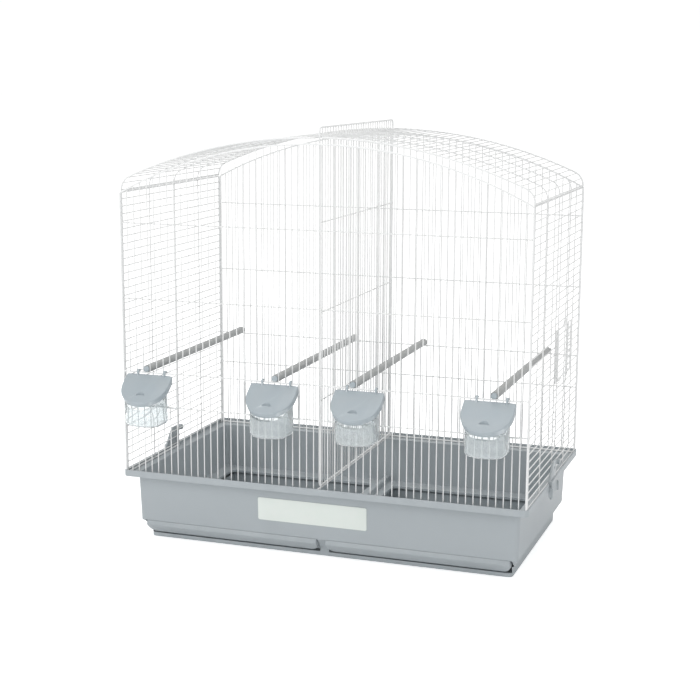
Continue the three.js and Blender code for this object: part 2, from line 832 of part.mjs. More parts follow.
function cup() {
  const height = portTop - cupBottom;
  const level = (at, shrink) => ({
    height: at,
    points: bowOutline(cupWidth - 2 * shrink, cupWidth - 2 * shrink, cupDepthOut - shrink, cupSideRun),
  });
  const rounding = cupBottomRadius;
  const tuck = 1 - Math.SQRT1_2;
  const outer = loft([
    level(0, rounding),
    level(rounding * tuck, rounding * tuck),
    level(rounding, 0),
    level(height, 0),
  ]);
  const inner = loft([
    level(cupWall, rounding),
    level(cupWall + rounding * tuck, rounding * tuck + cupWall),
    level(cupWall + rounding, cupWall),
    level(height + cupWall, cupWall),
  ]);
  const hookTop = cupBackTop - cupBottom;
  const hookThick = barWire;
  const backWall = hookTop - hookThick / 2;
  const sloped = hoodUnderside(cupRimDrop);
  const hollow = inner.subtract(box([-cupWidth, cupWidth], [-cupWall, cupWall], [0, backWall]));
  const backHalf = cupWidth / 2 - cupWall;
  const backCut = box([-backHalf, backHalf], [-2 * cupWall, cupWall], [backWall, height + cupWall]);
  const pieces = [outer.subtract(hollow).subtract(sloped).subtract(backCut)];
  const hookBack = frameWire + railWire + cupBackGap + fitGap;
  const outline = [
    [-cupWall / 2, hookTop - hookThick],
    [hookBack, hookTop - hookThick],
    [hookBack, hookTop - hookThick - cupHookDrop],
    [hookBack + hookThick, hookTop - hookThick - cupHookDrop],
    [hookBack + hookThick, hookTop],
    [-cupWall / 2, hookTop],
  ];
  for (const x of [-cupHookSpacing / 2, cupHookSpacing / 2])
    pieces.push(alongX(outline, x - cupHookWidth / 2, x + cupHookWidth / 2));
  return joined(pieces);
}

// The space over a plane that lies a given drop below the hood's top face, in the cup's own frame.
function hoodUnderside(drop) {
  const start = portTop - cupBottom - (hoodEdgeDrop + drop) / Math.cos(hoodTilt);
  const at = (y) => start + (y + cupBackY - hoodPivotY) * Math.tan(hoodTilt);
  const [far, near] = [-2 * cupDepthOut, cupWidth];
  const outline = [
    [far, at(far)],
    [near, at(near)],
    [near, at(near) + 2 * near],
    [far, at(far) + 2 * near],
  ];
  return alongX(outline, -cupWidth, cupWidth);
}

// Hood: built in its own plane round the hinge line, then tilted down by its group.

function hood() {
  const backY = -hoodEdgeBack;
  const topZ = -hoodEdgeDrop;
  const level = (height, inset, backInset) => {
    const widths = [hoodBackWidth, hoodWidth].map((width) => width - 2 * inset);
    const outline = bowOutline(...widths, hoodLength - inset - backInset, hoodSideRun - backInset);
    return { height, points: outline.map(([x, y]) => [x, y + backY - backInset]) };
  };
  const grilleFace = -frontY - frameHalf - fitGap - hoodPivotY;
  const grilleSide = new THREE.BoxGeometry(2 * hoodWidth, hoodLength, 2 * hoodLength)
    .translate(0, grilleFace + hoodLength / 2, 0)
    .rotateX(-hoodTilt);
  const outer = loft([level(topZ - hoodDepth, 0, 0), level(topZ - hoodEdge, 0, 0), level(topZ, hoodEdge, 0)]);
  const hollow = loft([level(topZ - 2 * hoodDepth, hoodWall, hoodWall), level(topZ - hoodWall, hoodWall, hoodWall)]);
  const pieces = [outer.subtract(hollow).subtract(solidOf(grilleSide))];
  const inside = hoodHookRadius;
  const outside = hoodHookRadius + hoodHookWall;
  for (const end of [-1, 1]) {
    const x = hoodHookShift + (end * hoodHookSpacing) / 2;
    const profile = [
      [inside, 0],
      [outside, 0],
      [outside, hoodHookWidth],
      [inside, hoodHookWidth],
      [inside, 0],
    ].map(([radius, along]) => new THREE.Vector2(radius, along));
    const loop = new THREE.LatheGeometry(profile, roundSides)
      .rotateZ(-Math.PI / 2)
      .translate(x - hoodHookWidth / 2, 0, 0);
    const across = [x - hoodHookWidth / 3, x + hoodHookWidth / 3];
    pieces.push(solidOf(loop));
    pieces.push(box(across, [backY - hoodNeck, -(inside + outside) / 2], [topZ - hoodWall / 2, 0]));
  }
  const front = backY - hoodLength + pocketFromFront;
  const plug = halfRound(plugRadius, -plugDrop, front, topZ);
  const above = box(
    [-hoodWidth, hoodWidth],
    [-hoodLength - plugRadius, hoodLength],
    [topZ - hoodWall / 2, hoodLength],
  );
  pieces.push(plug.subtract(above));
  return joined(pieces).subtract(halfRound(pocketRadius, 0, front, topZ));
}

// A half-round post with its flat side to the front, upright when the hood lies tilted on its cup.
function halfRound(radius, low, y, z) {
  const shape = new THREE.Shape();
  for (let step = 0; step <= pocketSteps; step++) {
    const turn = (step * Math.PI) / pocketSteps;
    const corner = [radius * Math.cos(turn), pocketShare * radius * Math.sin(turn)];
    if (step === 0) shape.moveTo(...corner);
    else shape.lineTo(...corner);
  }
  const post = new THREE.ExtrudeGeometry(shape, { depth: pocketHeight, bevelEnabled: false });
  return solidOf(post.translate(0, 0, low).rotateX(-hoodTilt).translate(0, y, z));
}

// Assembly

const cage = new THREE.Group();

function part(name, solid, colour, place = {}) {
  const { roughness = 0.45, metalness = 0, position = [0, 0, 0], turn = 0, parent = cage } = place;
  const material = new THREE.MeshStandardMaterial({ color: colour, roughness, metalness });
  const mesh = new THREE.Mesh(geometryOf(solid), material);
  mesh.name = name;
  mesh.position.set(...position);
  mesh.rotation.z = turn;
  parent.add(mesh);
}

const sides = [
  ["left", -1],
  ["right", 1],
];

part("tray_housing", tray(), trayGrey);
part("label_plate", label(), white);
part("front_grille", endGrille(portSpans), white, { position: [0, -frontY, 0] });
part("back_grille", endGrille([]), white, { position: [0, frontY, 0], turn: Math.PI });
part("divider_grille", dividerGrille(), white);
part("divider_rest_wire", dividerRest(), white);
part("side_door_right", sideDoor(doorSide), white, { position: [doorSide * sideX, 0, doorLow] });

for (const [word, side] of sides) {
  part("drawer_" + word, drawer(side), trayGrey);
  part("latch_" + word, latch(side), trayGrey);
  part("side_grille_" + word, sideGrille(side), white);
  part("roof_grille_" + word, roofGrille(side), white);
}

perchBars.forEach((number, index) => {
  part("perch_" + (index + 1), perch(), perchGrey, { position: [barX(number), 0, perchHeight] });
});

feederBars.forEach((number, index) => {
  const feeder = new THREE.Group();
  feeder.position.x = barX(number);
  cage.add(feeder);
  const place = { roughness: 0.1, position: [0, cupBackY, cupBottom], parent: feeder };
  part("feeder_cup_" + (index + 1), cup(), clear, place);
  const hinge = new THREE.Group();
  hinge.position.set(0, hoodPivotY, portTop);
  hinge.rotation.x = hoodTilt;
  feeder.add(hinge);
  part("feeder_hood_" + (index + 1), hood(), hoodGrey, { parent: hinge });
});

export default cage;
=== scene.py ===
"""Looks of a bird cage: round coated wires on a moulded plastic tray, with feeders and perches."""

import math

import bmesh
import bpy
from mathutils import Matrix, Vector


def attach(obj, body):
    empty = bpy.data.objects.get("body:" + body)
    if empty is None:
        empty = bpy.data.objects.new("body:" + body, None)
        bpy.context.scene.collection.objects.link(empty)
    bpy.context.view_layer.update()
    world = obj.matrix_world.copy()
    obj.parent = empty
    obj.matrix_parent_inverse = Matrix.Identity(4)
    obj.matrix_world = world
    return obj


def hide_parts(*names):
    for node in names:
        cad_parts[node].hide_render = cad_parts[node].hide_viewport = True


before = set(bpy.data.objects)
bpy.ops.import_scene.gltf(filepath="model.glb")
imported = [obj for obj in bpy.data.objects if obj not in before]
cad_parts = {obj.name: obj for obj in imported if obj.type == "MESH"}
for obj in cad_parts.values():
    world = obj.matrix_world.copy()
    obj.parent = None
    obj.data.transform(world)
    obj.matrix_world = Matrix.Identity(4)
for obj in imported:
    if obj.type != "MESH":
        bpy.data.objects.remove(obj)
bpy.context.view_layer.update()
mm = 0.001

# Wire body, in metres, on the sizes of the solid model

BAR = 0.9 * mm
RAIL = 1.0 * mm
EDGE = 1.5 * mm
PORT = 1.45 * mm
RAIL_SINK = 0.1 * mm
HALF_WIDTH = 330 * mm
FACE_Y = 190.5 * mm
SIDE_EDGE_Y = 185.55 * mm
FOOT = 114 * mm
ARCH_TOP = 659 * mm
ARCH_RADIUS = 790 * mm
SHOULDER = 24 * mm
BAR_GAPS = 57
BAR_PITCH = 2 * HALF_WIDTH / BAR_GAPS
SIDE_PITCH = 11.85 * mm
SIDE_FIRST = 119.1 * mm
SIDE_BARS = 38
RAIL_HEIGHTS = [228 * mm, 283 * mm, 400.5 * mm, 520.5 * mm]
PORTS = [(0, 8), (18, 26), (30, 38), (48, 56)]
STIFF_GAPS = 4
STIFF_PITCH = 2 * SIDE_EDGE_Y / STIFF_GAPS
SLOT_EDGE_X = 7 * mm

ARCH_CENTRE = ARCH_TOP - ARCH_RADIUS
SHOULDER_X = HALF_WIDTH - SHOULDER
SHOULDER_Z = ARCH_CENTRE + math.sqrt((ARCH_RADIUS - SHOULDER) ** 2 - SHOULDER_X**2)
SHOULDER_TURN = math.asin(SHOULDER_X / (ARCH_RADIUS - SHOULDER))
SLOT_EDGE_Z = ARCH_CENTRE + math.sqrt(ARCH_RADIUS**2 - SLOT_EDGE_X**2)

# The lower, flatter arch of the front and back walls, with a tight bend at its ends

END_RADIUS = 706 * mm
END_CENTRE = ARCH_TOP - 9.5 * mm - END_RADIUS
END_BEND = 4 * mm
END_BEND_X = HALF_WIDTH - END_BEND
END_BEND_Z = END_CENTRE + math.sqrt((END_RADIUS - END_BEND) ** 2 - END_BEND_X**2)
END_TURN = math.asin(END_BEND_X / (END_RADIUS - END_BEND))
SIDE_TOP = SHOULDER_Z - 3.3 * mm

# Side door and divider

DOOR_SIDE = 1
DOOR_FIRST_BAR = 13
DOOR_LAST_BAR = 20
DOOR_LOW = SIDE_FIRST + DOOR_FIRST_BAR * SIDE_PITCH
DOOR_HIGH = SIDE_FIRST + DOOR_LAST_BAR * SIDE_PITCH
DOOR_FAR = STIFF_PITCH
DOOR_WIRE = 1.2 * mm
DOOR_OUT = 4.2 * mm
DOOR_LAP = 4 * mm
DOOR_NECK = 7 * mm
DOOR_GAPS = 8
DOOR_LOOP = 0.85 * mm
DOOR_LOOP_INSET = 16 * mm
CATCH_HALF = 11 * mm
CATCH_RISE = 9 * mm
DIVIDER_FOOT = 119.1 * mm
DIVIDER_TOP = 674 * mm
DIVIDER_REACH = 180 * mm
DIVIDER_GAPS = 30
DIVIDER_RAIL_RISE = 137.2 * mm
REST_HALF = 192 * mm
REST_Z = 117.3 * mm

# Tray: heights, then width and depth of its outline at each of them

PLINTH_TOP = 14.3 * mm
WALL_FOOT = 31 * mm
SHELF_TOP = 36 * mm
RIDGE_TOP = 46 * mm
RIM_FOOT = 109 * mm
WALL_TOP = 110.2 * mm
FLANGE_TOP = 112.2 * mm
RIM_TOP = 119.5 * mm
FOOT_OUTLINE = (607.6 * mm, 312.7 * mm)
PLINTH_OUTLINE = (609 * mm, 313.4 * mm)
STEP_OUTLINE = (627.6 * mm, 343.2 * mm)
WALL_FOOT_OUTLINE = (631 * mm, 346.6 * mm)
WALL_TOP_OUTLINE = (636 * mm, 351.4 * mm)
RIM_OUTSIDE = (668.2 * mm, 389.2 * mm)
RIM_INSIDE = (663.8 * mm, 384.8 * mm)
WALL_INSIDE = (631.4 * mm, 346.8 * mm)
SHELF_OUTLINE = (626.2 * mm, 341.8 * mm)
TRAY_CORNER = 7 * mm

# Drawer bays and drawers: spans from the tray's middle outwards, and heights

PAST_FRONT = -200 * mm
BAY_FOOT = 6.5 * mm
BAY_TOP = 32 * mm
BAY = ((7.5 * mm, 301.8 * mm), (PAST_FRONT, 153.85 * mm), (BAY_FOOT, BAY_TOP))
SEAT = ((7.2 * mm, 307 * mm), (PAST_FRONT, -156.05 * mm), (BAY_FOOT, BAY_TOP))
UPPER_CORNER = ((301 * mm, 306.3 * mm), (-170 * mm, -130 * mm), (17 * mm, 31.6 * mm))
LOWER_CORNER = ((301 * mm, 303 * mm), (-160 * mm, -130 * mm), (BAY_FOOT, 17.5 * mm))
UNDERSIDE = ((7.5 * mm, 300.8 * mm), (-153.3 * mm, 153.3 * mm), (-3 * mm, 4 * mm))
HATCH = ((19.5 * mm, 289.8 * mm), (-144.3 * mm, 141.8 * mm), (29 * mm, 39 * mm))
HATCH_CORNER = 8 * mm
FACE_SPAN = (8 * mm, 303.3 * mm)
FACE_FOOT = 10 * mm
FACE_TOP = 31.7 * mm
FACE_CORNER = 12 * mm
BROW_HEIGHT = 25 * mm
DRAWER_SPAN = (8.2 * mm, 291.8 * mm)
DRAWER_DEPTH = (-155.3 * mm, 150.3 * mm)
DRAWER_TOP = 27.5 * mm
DRAWER_WALL = 0.8 * mm
DRAWER_HOLLOW = 15.5 * mm

# Latches: along Y and up, then out from the cage's middle

LATCH_FRONT = -39 * mm
LATCH_BACK = 4 * mm
LATCH_APEX = -16 * mm
LATCH_FOOT = 94 * mm
LATCH_SILL = 119.8 * mm
LATCH_KNEE = 122.5 * mm
LATCH_TOP = 148.5 * mm
KNOB_Y = 22 * mm
PLATE_OUT = (331.8 * mm, 334.8 * mm)
KNEE_OUT = (332 * mm, 337.7 * mm)
TONGUE_OUT = (334.7 * mm, 337.7 * mm)
TONGUE_TOP = 122 * mm
ARM_OUT = (332 * mm, 334.6 * mm)
ARM_HEIGHTS = (138.5 * mm, 143.5 * mm)
HOLE = (333.3 * mm, -6 * mm, 137 * mm)
KNOB = (334.8 * mm, KNOB_Y, 141 * mm)
PIN = (336.2 * mm, -17.5 * mm, 102 * mm)
PIN_LENGTH = 49.4 * mm
LUG_OUT = (333.2 * mm, 340.1 * mm)
LUG_HEIGHTS = (98 * mm, 114 * mm)
LUG_CHAMFER = 1.5 * mm
LUGS = ((-42.5 * mm, -39.5 * mm), (4.5 * mm, 7.5 * mm))

# Perches and feeders

PERCH_BARS = [3.5, 22.5, 33.5, 52.5]
PERCH_Z = 288.6 * mm
PERCH_SEAT_Z = 284.8 * mm
PERCH_HALF = 193 * mm
PERCH_RADIUS = 6.1 * mm
PERCH_TIP_RADIUS = 4.55 * mm
FEEDER_BARS = [4, 22.5, 34.5, 52]
HINGE_Y = -189.675 * mm
HINGE_Z = 283 * mm
CUP_BACK = -193 * mm
CUP_FOOT = 202.5 * mm
CUP_WIDTH = 63 * mm
CUP_LENGTH = 43.5 * mm
CUP_SIDE_RUN = 20 * mm
CUP_HEIGHT = 80.5 * mm
CUP_RIM_Z = 61.2 * mm
CUP_ROUNDING = 7 * mm
CUP_WALL = 1.6 * mm
LID_TILT = math.radians(37)
LID_BACK = -3.3 * mm
LID_TOP = -0.6 * mm
LID_DEPTH = 9.5 * mm
LID_LENGTH = 60.8 * mm
LID_WALL = 2 * mm
LID_BACK_WIDTH = 79 * mm
LID_WIDTH = 79.5 * mm
LID_SIDE_RUN = 18.5 * mm
LID_CORNER = 3 * mm
LID_CLEAR_OF_BARS = -192.3 * mm
POCKET_FROM_FRONT = 15 * mm
POCKET_RADIUS = 7.5 * mm
POCKET_SHARE = 0.85
LID_NORMAL = Vector((0, -math.sin(LID_TILT), math.cos(LID_TILT)))

TOUCHING = 0.01 * mm

# Camera, fitted to the photograph: place in metres, turns in degrees, focal length in millimetres

CAMERA_PLACE = (0.7736, -2.2607, 0.7632)
CAMERA_HEADING = 19.191
CAMERA_PITCH = -10.869
CAMERA_ROLL = -0.252
FOCAL_LENGTH = 75.94
SENSOR_WIDTH = 36


# Objects and edit mode


def deselect():
    if bpy.context.mode != "OBJECT":
        bpy.ops.object.mode_set(mode="OBJECT")
    bpy.ops.object.select_all(action="DESELECT")


def activate(piece):
    deselect()
    piece.select_set(True)
    bpy.context.view_layer.objects.active = piece
    return piece


def added(name, add, **values):
    """A new primitive under a name of its own."""
    deselect()
    add(**values)
    piece = bpy.context.object
    piece.name = name
    piece.data.name = name
    return piece


def settled(piece):
    """Puts the piece's place, turn and size into its mesh."""
    activate(piece)
    bpy.ops.object.transform_apply(location=True, rotation=True, scale=True)
    return piece


def edit(piece):
    activate(piece)
    bpy.ops.object.mode_set(mode="EDIT")
    bpy.ops.mesh.select_all(action="DESELECT")


def done():
    bpy.ops.object.mode_set(mode="OBJECT")


def pick(piece, kind, test):
    """In edit mode, selects the vertices, edges or faces that pass a test."""
    bpy.ops.mesh.select_mode(type=kind)
    bpy.ops.mesh.select_all(action="DESELECT")
    mesh = bmesh.from_edit_mesh(piece.data)
    for item in {"VERT": mesh.verts, "EDGE": mesh.edges, "FACE": mesh.faces}[kind]:
        if test(item):
            item.select_set(True)
    mesh.select_flush_mode()
    bmesh.update_edit_mesh(piece.data)


def level_face(height, up=1):
    """A test for a flat face at a height that looks up or down."""
    return lambda face: abs(face.calc_center_median().z - height) < TOUCHING and face.normal.z * up > 0.99


def along(edge):
    return edge.verts[1].co - edge.verts[0].co


def level_edge(edge, height):
    return all(abs(corner.co.z - height) < TOUCHING for corner in edge.verts)


def mirrored(side, span):
    """A span given on the right, taken to the side asked for."""
    return side * span[0], side * span[1]


def modified(piece, kind, **values):
    """Adds a modifier to a piece and applies it."""
    activate(piece)
    modifier = piece.modifiers.new(kind, kind)
    for key, value in values.items():
        setattr(modifier, key, value)
    bpy.ops.object.modifier_apply(modifier=modifier.name)
    return piece


def cut(piece, tool, how="DIFFERENCE"):
    """Cuts, joins or crosses a piece with a tool, which is used up."""
    modified(piece, "BOOLEAN", operation=how, object=tool, solver="EXACT")
    bpy.data.objects.remove(tool)
    return piece


def softened(piece, width, steps=2, angle=30):
    return modified(
        piece,
        "BEVEL",
        width=width,
        segments=steps,
        limit_method="ANGLE",
        angle_limit=math.radians(angle),
        use_clamp_overlap=True,
    )


def outward(piece):
    edit(piece)
    bpy.ops.mesh.select_all(action="SELECT")
    bpy.ops.mesh.remove_doubles(threshold=1e-6)
    bpy.ops.mesh.normals_make_consistent(inside=False)
    done()
    return piece


def joined(name, pieces):
    activate(pieces[0])
    for piece in pieces:
        piece.select_set(True)
    if len(pieces) > 1:
        bpy.ops.object.join()
    pieces[0].name = name
    pieces[0].data.name = name
    return pieces[0]


def copied(piece, name, move=None):
    """A copy with a mesh of its own, moved by a matrix."""
    mesh = piece.data.copy()
    if move is not None:
        mesh.transform(move)
        if move.determinant() < 0:
            mesh.flip_normals()
    twin = bpy.data.objects.new(name, mesh)
    bpy.context.scene.collection.objects.link(twin)
    return twin


def shown(piece, body, finish, nodes=(), angle=35):
    """Smooths a piece, gives it its finish, hangs it on its body and puts it in place of its solids."""
    settled(piece)
    bpy.ops.object.shade_smooth_by_angle(angle=math.radians(angle))
    piece.data.materials.clear()
    piece.data.materials.append(finish)
    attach(piece, body)
    if nodes:
        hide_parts(*nodes)
    return piece


def block(name, x, y, z):
    """A box between two values along each axis."""
    size = [abs(b - a) for a, b in (x, y, z)]
    middle = [(a + b) / 2 for a, b in (x, y, z)]
    piece = added(name, bpy.ops.mesh.primitive_cube_add, size=1, location=middle)
    piece.scale = size
    return settled(piece)


TURNED = {
    "X": Matrix(((0, 0, 1, 0), (1, 0, 0, 0), (0, 1, 0, 0), (0, 0, 0, 1))),
    "Y": Matrix(((1, 0, 0, 0), (0, 0, 1, 0), (0, 1, 0, 0), (0, 0, 0, 1))),
    "Z": Matrix.Identity(4),
}


def plate(name, points, axis, low, high):
    """A plate between two places along an axis: a circle moved to an outline and drawn out."""
    piece = added(
        name, bpy.ops.mesh.primitive_circle_add, vertices=len(points), radius=mm, fill_type="NGON"
    )
    for corner, point in zip(piece.data.vertices, points):
        corner.co = (point[0], point[1], 0)
    edit(piece)
    bpy.ops.mesh.select_all(action="SELECT")
    bpy.ops.mesh.extrude_region_move(TRANSFORM_OT_translate={"value": (0, 0, abs(high - low))})
    done()
    piece.data.transform(TURNED[axis] @ Matrix.Translation((0, 0, min(low, high))))
    return outward(piece)


# Wires


def stock_rod(name, radius, sides=8):
    """A short rod with rounded tips, from which the straight bars are drawn."""
    rod = added(
        name, bpy.ops.mesh.primitive_cylinder_add, vertices=sides, radius=radius, depth=4 * radius
    )
    edit(rod)
    pick(rod, "EDGE", lambda edge: abs(edge.verts[0].co.z - edge.verts[1].co.z) < radius / 10)
    bpy.ops.mesh.bevel(offset=radius / 3, segments=1, affect="EDGES")
    done()
    return rod


STOCK = {
    BAR: stock_rod("bar_stock", BAR),
    RAIL: stock_rod("rail_stock", RAIL),
    EDGE: stock_rod("edge_stock", EDGE, 12),
}


def bar(start, end, radius=BAR):
    """A straight bar: a copy of the stock whose tips are drawn out to two points."""
    start, end = Vector(start), Vector(end)
    run = end - start
    rod = copied(STOCK[radius], "bar")
    more = run.length / 2 - 2 * radius
    for corner in rod.data.vertices:
        corner.co.z += more if corner.co.z > 0 else -more
    turn = Vector((0, 0, 1)).rotation_difference(run).to_matrix().to_4x4()
    rod.data.transform(Matrix.Translation((start + end) / 2) @ turn)
    return rod


def bent(name, radius, start, heading, moves, sides=10, closed=False):
    """A bent wire: a circle drawn along straight runs and round turns, its ends capped or met."""
    turn = Vector((0, 0, 1)).rotation_difference(Vector(heading)).to_euler()
    wire = added(
        name,
        bpy.ops.mesh.primitive_circle_add,
        vertices=sides,
        radius=radius,
        fill_type="NOTHING",
        location=start,
        rotation=turn,
    )
    settled(wire)
    edit(wire)
    bpy.ops.mesh.select_all(action="SELECT")
    for move in moves:
        if len(move) == 1:
            bpy.ops.mesh.extrude_region_move(TRANSFORM_OT_translate={"value": move[0]})
        else:
            centre, axis, angle, steps = move
            bpy.ops.mesh.spin(steps=steps, angle=angle, center=centre, axis=axis)
    if closed:
        bpy.ops.mesh.select_all(action="SELECT")
        bpy.ops.mesh.remove_doubles(threshold=0.02 * mm)
    else:
        bpy.ops.mesh.edge_face_add()
        pick(wire, "EDGE", lambda edge: edge.is_boundary)
        bpy.ops.mesh.edge_face_add()
    bpy.ops.mesh.select_all(action="SELECT")
    bpy.ops.mesh.normals_make_consistent(inside=False)
    done()
    return wire


def end_height(x):
    """Height of the wire over a front or back wall."""
    return END_CENTRE + math.sqrt(END_RADIUS**2 - x**2)


def roof_turns(y, side, stop):
    """The turns of a wire from one shoulder along the arch, as far as an angle past its top."""
    axis = (0, side, 0)
    return [
        ((side * SHOULDER_X, y, SHOULDER_Z), axis, math.pi / 2 - SHOULDER_TURN, 6),
        ((0, y, ARCH_CENTRE), axis, SHOULDER_TURN - stop, 16 if stop else 32),
    ]


def end_outline(name, y):
    """The wire round a whole end wall, from the middle of its foot and back to it."""
    corner = 5 * mm
    low, axis = FOOT + corner, (0, 1, 0)
    rise = END_BEND_Z - low
    flat = HALF_WIDTH - corner
    moves = [
        ((flat, 0, 0),),
        ((flat, y, low), axis, math.pi / 2, 4),
        ((0, 0, rise),),
        ((END_BEND_X, y, END_BEND_Z), axis, math.pi / 2 - END_TURN, 4),
        ((0, y, END_CENTRE), axis, 2 * END_TURN, 40),
        ((-END_BEND_X, y, END_BEND_Z), axis, math.pi / 2 - END_TURN, 4),
        ((0, 0, -rise),),
        ((-flat, y, low), axis, math.pi / 2, 4),
        ((flat, 0, 0),),
    ]
    return bent(name, EDGE, (0, y, FOOT), (1, 0, 0), moves, closed=True)


def wire_loop(name, radius, corners, plane, sides=10, corner=3 * mm):
    """A rectangle of wire with rounded corners, along two axes of a plane at a place across it."""
    across, up, place = plane
    (low_a, low_u), (high_a, high_u) = corners

    def point(a, u):
        spot = list(place)
        spot[across], spot[up] = a, u
        return tuple(spot)

    def step(a, u):
        spot = [0, 0, 0]
        spot[across], spot[up] = a, u
        return tuple(spot)

    axis = [0, 0, 0]
    axis[3 - across - up] = 1 if (across, up) == (0, 2) else -1
    wide, tall = high_a - low_a - 2 * corner, high_u - low_u - 2 * corner
    turn = (tuple(axis), math.pi / 2, 4)
    moves = [
        (step(wide / 2, 0),),
        (point(high_a - corner, low_u + corner), *turn),
        (step(0, tall),),
        (point(high_a - corner, high_u - corner), *turn),
        (step(-wide, 0),),
        (point(low_a + corner, high_u - corner), *turn),
        (step(0, -tall),),
        (point(low_a + corner, low_u + corner), *turn),
        (step(wide / 2, 0),),
    ]
    return bent(name, radius, point((low_a + high_a) / 2, low_u), step(1, 0), moves, sides, closed=True)


def bar_x(number):
    return (number - BAR_GAPS / 2) * BAR_PITCH


def end_grille(name, side, ports):
    """A front or back wall: the outline, upright bars in its plane and rails welded on inside."""
    y = side * FACE_Y
    wires = [end_outline(name, y)]
    inset = y - side * (BAR + RAIL - RAIL_SINK)
    wires += [bar((-HALF_WIDTH, inset, z), (HALF_WIDTH, inset, z), RAIL) for z in RAIL_HEIGHTS]
    low, high = RAIL_HEIGHTS[:2]
    for first, last in ports:
        wires.append(wire_loop("port", PORT, ((bar_x(first), low), (bar_x(last), high)), (0, 2, (0, y, 0))))
    for number in range(1, BAR_GAPS):
        x = bar_x(number)
        if any(first <= number <= last for first, last in ports):
            wires += [bar((x, y, FOOT), (x, y, low)), bar((x, y, high), (x, y, end_height(x)))]
        else:
            wires.append(bar((x, y, FOOT), (x, y, end_height(x))))
    return joined(name, wires)


def side_grille(name, side):
    """An end wall: its frame, level bars, three stiffeners inside and, in the right one, the doorway."""
    x = side * HALF_WIDTH
    reach = SIDE_EDGE_Y
    inset = x - side * (BAR + RAIL - RAIL_SINK)
    wires = [wire_loop(name, EDGE, ((-reach, FOOT), (reach, SIDE_TOP)), (1, 2, (x, 0, 0)))]
    has_door = side == DOOR_SIDE
    if has_door:
        wires.append(wire_loop("doorway", EDGE, ((0, DOOR_LOW), (DOOR_FAR, DOOR_HIGH)), (1, 2, (x, 0, 0))))
    for gap in range(1, STIFF_GAPS):
        y = gap * STIFF_PITCH - reach
        wires.append(bar((inset, y, FOOT), (inset, y, SIDE_TOP), RAIL))
    for number in range(SIDE_BARS):
        z = SIDE_FIRST + number * SIDE_PITCH
        if has_door and DOOR_FIRST_BAR <= number <= DOOR_LAST_BAR:
            wires += [bar((x, -reach, z), (x, 0, z)), bar((x, DOOR_FAR, z), (x, reach, z))]
        else:
            wires.append(bar((x, -reach, z), (x, reach, z)))
    return joined(name, wires)


def roof_wire(name, radius, y, side, depth):
    """A wire bent over half the roof, a little inside the line of the bars."""
    stop = math.asin(SLOT_EDGE_X / ARCH_RADIUS)
    start = (side * (HALF_WIDTH - depth), y, SHOULDER_Z)
    return bent(name, radius, start, (0, 0, 1), roof_turns(y, side, stop), 8)


def roof_grille(name, side):
    """Half the roof: edge wires, bars front to back and three bent stiffeners under them."""
    reach = SIDE_EDGE_Y
    wires = [roof_wire(name, EDGE, y, side, 0) for y in (-reach, reach)]
    for x, z in ((HALF_WIDTH, SHOULDER_Z), (SLOT_EDGE_X, SLOT_EDGE_Z)):
        wires.append(bar((side * x, -reach - EDGE / 2, z), (side * x, reach + EDGE / 2, z), EDGE))
    for gap in range(1, STIFF_GAPS):
        wires.append(roof_wire("stiffener", RAIL, gap * STIFF_PITCH - reach, side, BAR + RAIL - RAIL_SINK))
    bend = SHOULDER * (math.pi / 2 - SHOULDER_TURN)
    run = bend + ARCH_RADIUS * (SHOULDER_TURN - math.asin(SLOT_EDGE_X / ARCH_RADIUS))
    gaps = round(run / SIDE_PITCH)
    for number in range(1, gaps):
        gone = run * number / gaps
        if gone < bend:
            turn = math.pi / 2 - gone / SHOULDER
            x = SHOULDER_X + SHOULDER * math.sin(turn)
            z = SHOULDER_Z + SHOULDER * math.cos(turn)
        else:
            turn = SHOULDER_TURN - (gone - bend) / ARCH_RADIUS
            x = ARCH_RADIUS * math.sin(turn)
            z = ARCH_CENTRE + ARCH_RADIUS * math.cos(turn)
        wires.append(bar((side * x, -reach, z), (side * x, reach, z)))
    return joined(name, wires)


def divider():
    """The lift-out grille between the two halves."""
    low, reach = DIVIDER_FOOT + EDGE, DIVIDER_REACH
    corners = ((-reach, low), (reach, DIVIDER_TOP))
    wires = [wire_loop("divider", EDGE, corners, (1, 2, (0, 0, 0)), corner=6 * mm)]
    for number in range(1, DIVIDER_GAPS):
        y = (2 * number / DIVIDER_GAPS - 1) * reach
        wires.append(bar((0, y, low), (0, y, DIVIDER_TOP)))
    inset = BAR + RAIL - RAIL_SINK
    for step in (1, 2, 3):
        z = low + step * DIVIDER_RAIL_RISE
        wires.append(bar((inset, -reach, z), (inset, reach, z), RAIL))
    return joined("divider", wires)


def door_catch(x, middle, foot):
    """A small plate with two round top corners, to take hold of the door by."""
    top = foot + CATCH_RISE
    catch = block("catch", (x - BAR, x + BAR), (middle - CATCH_HALF, middle + CATCH_HALF), (foot, top))
    edit(catch)
    pick(catch, "EDGE", lambda edge: level_edge(edge, top) and abs(along(edge).y) < TOUCHING)
    bpy.ops.mesh.bevel(offset=4 * mm, segments=4)
    done()
    return softened(catch, 0.3 * mm, 1)


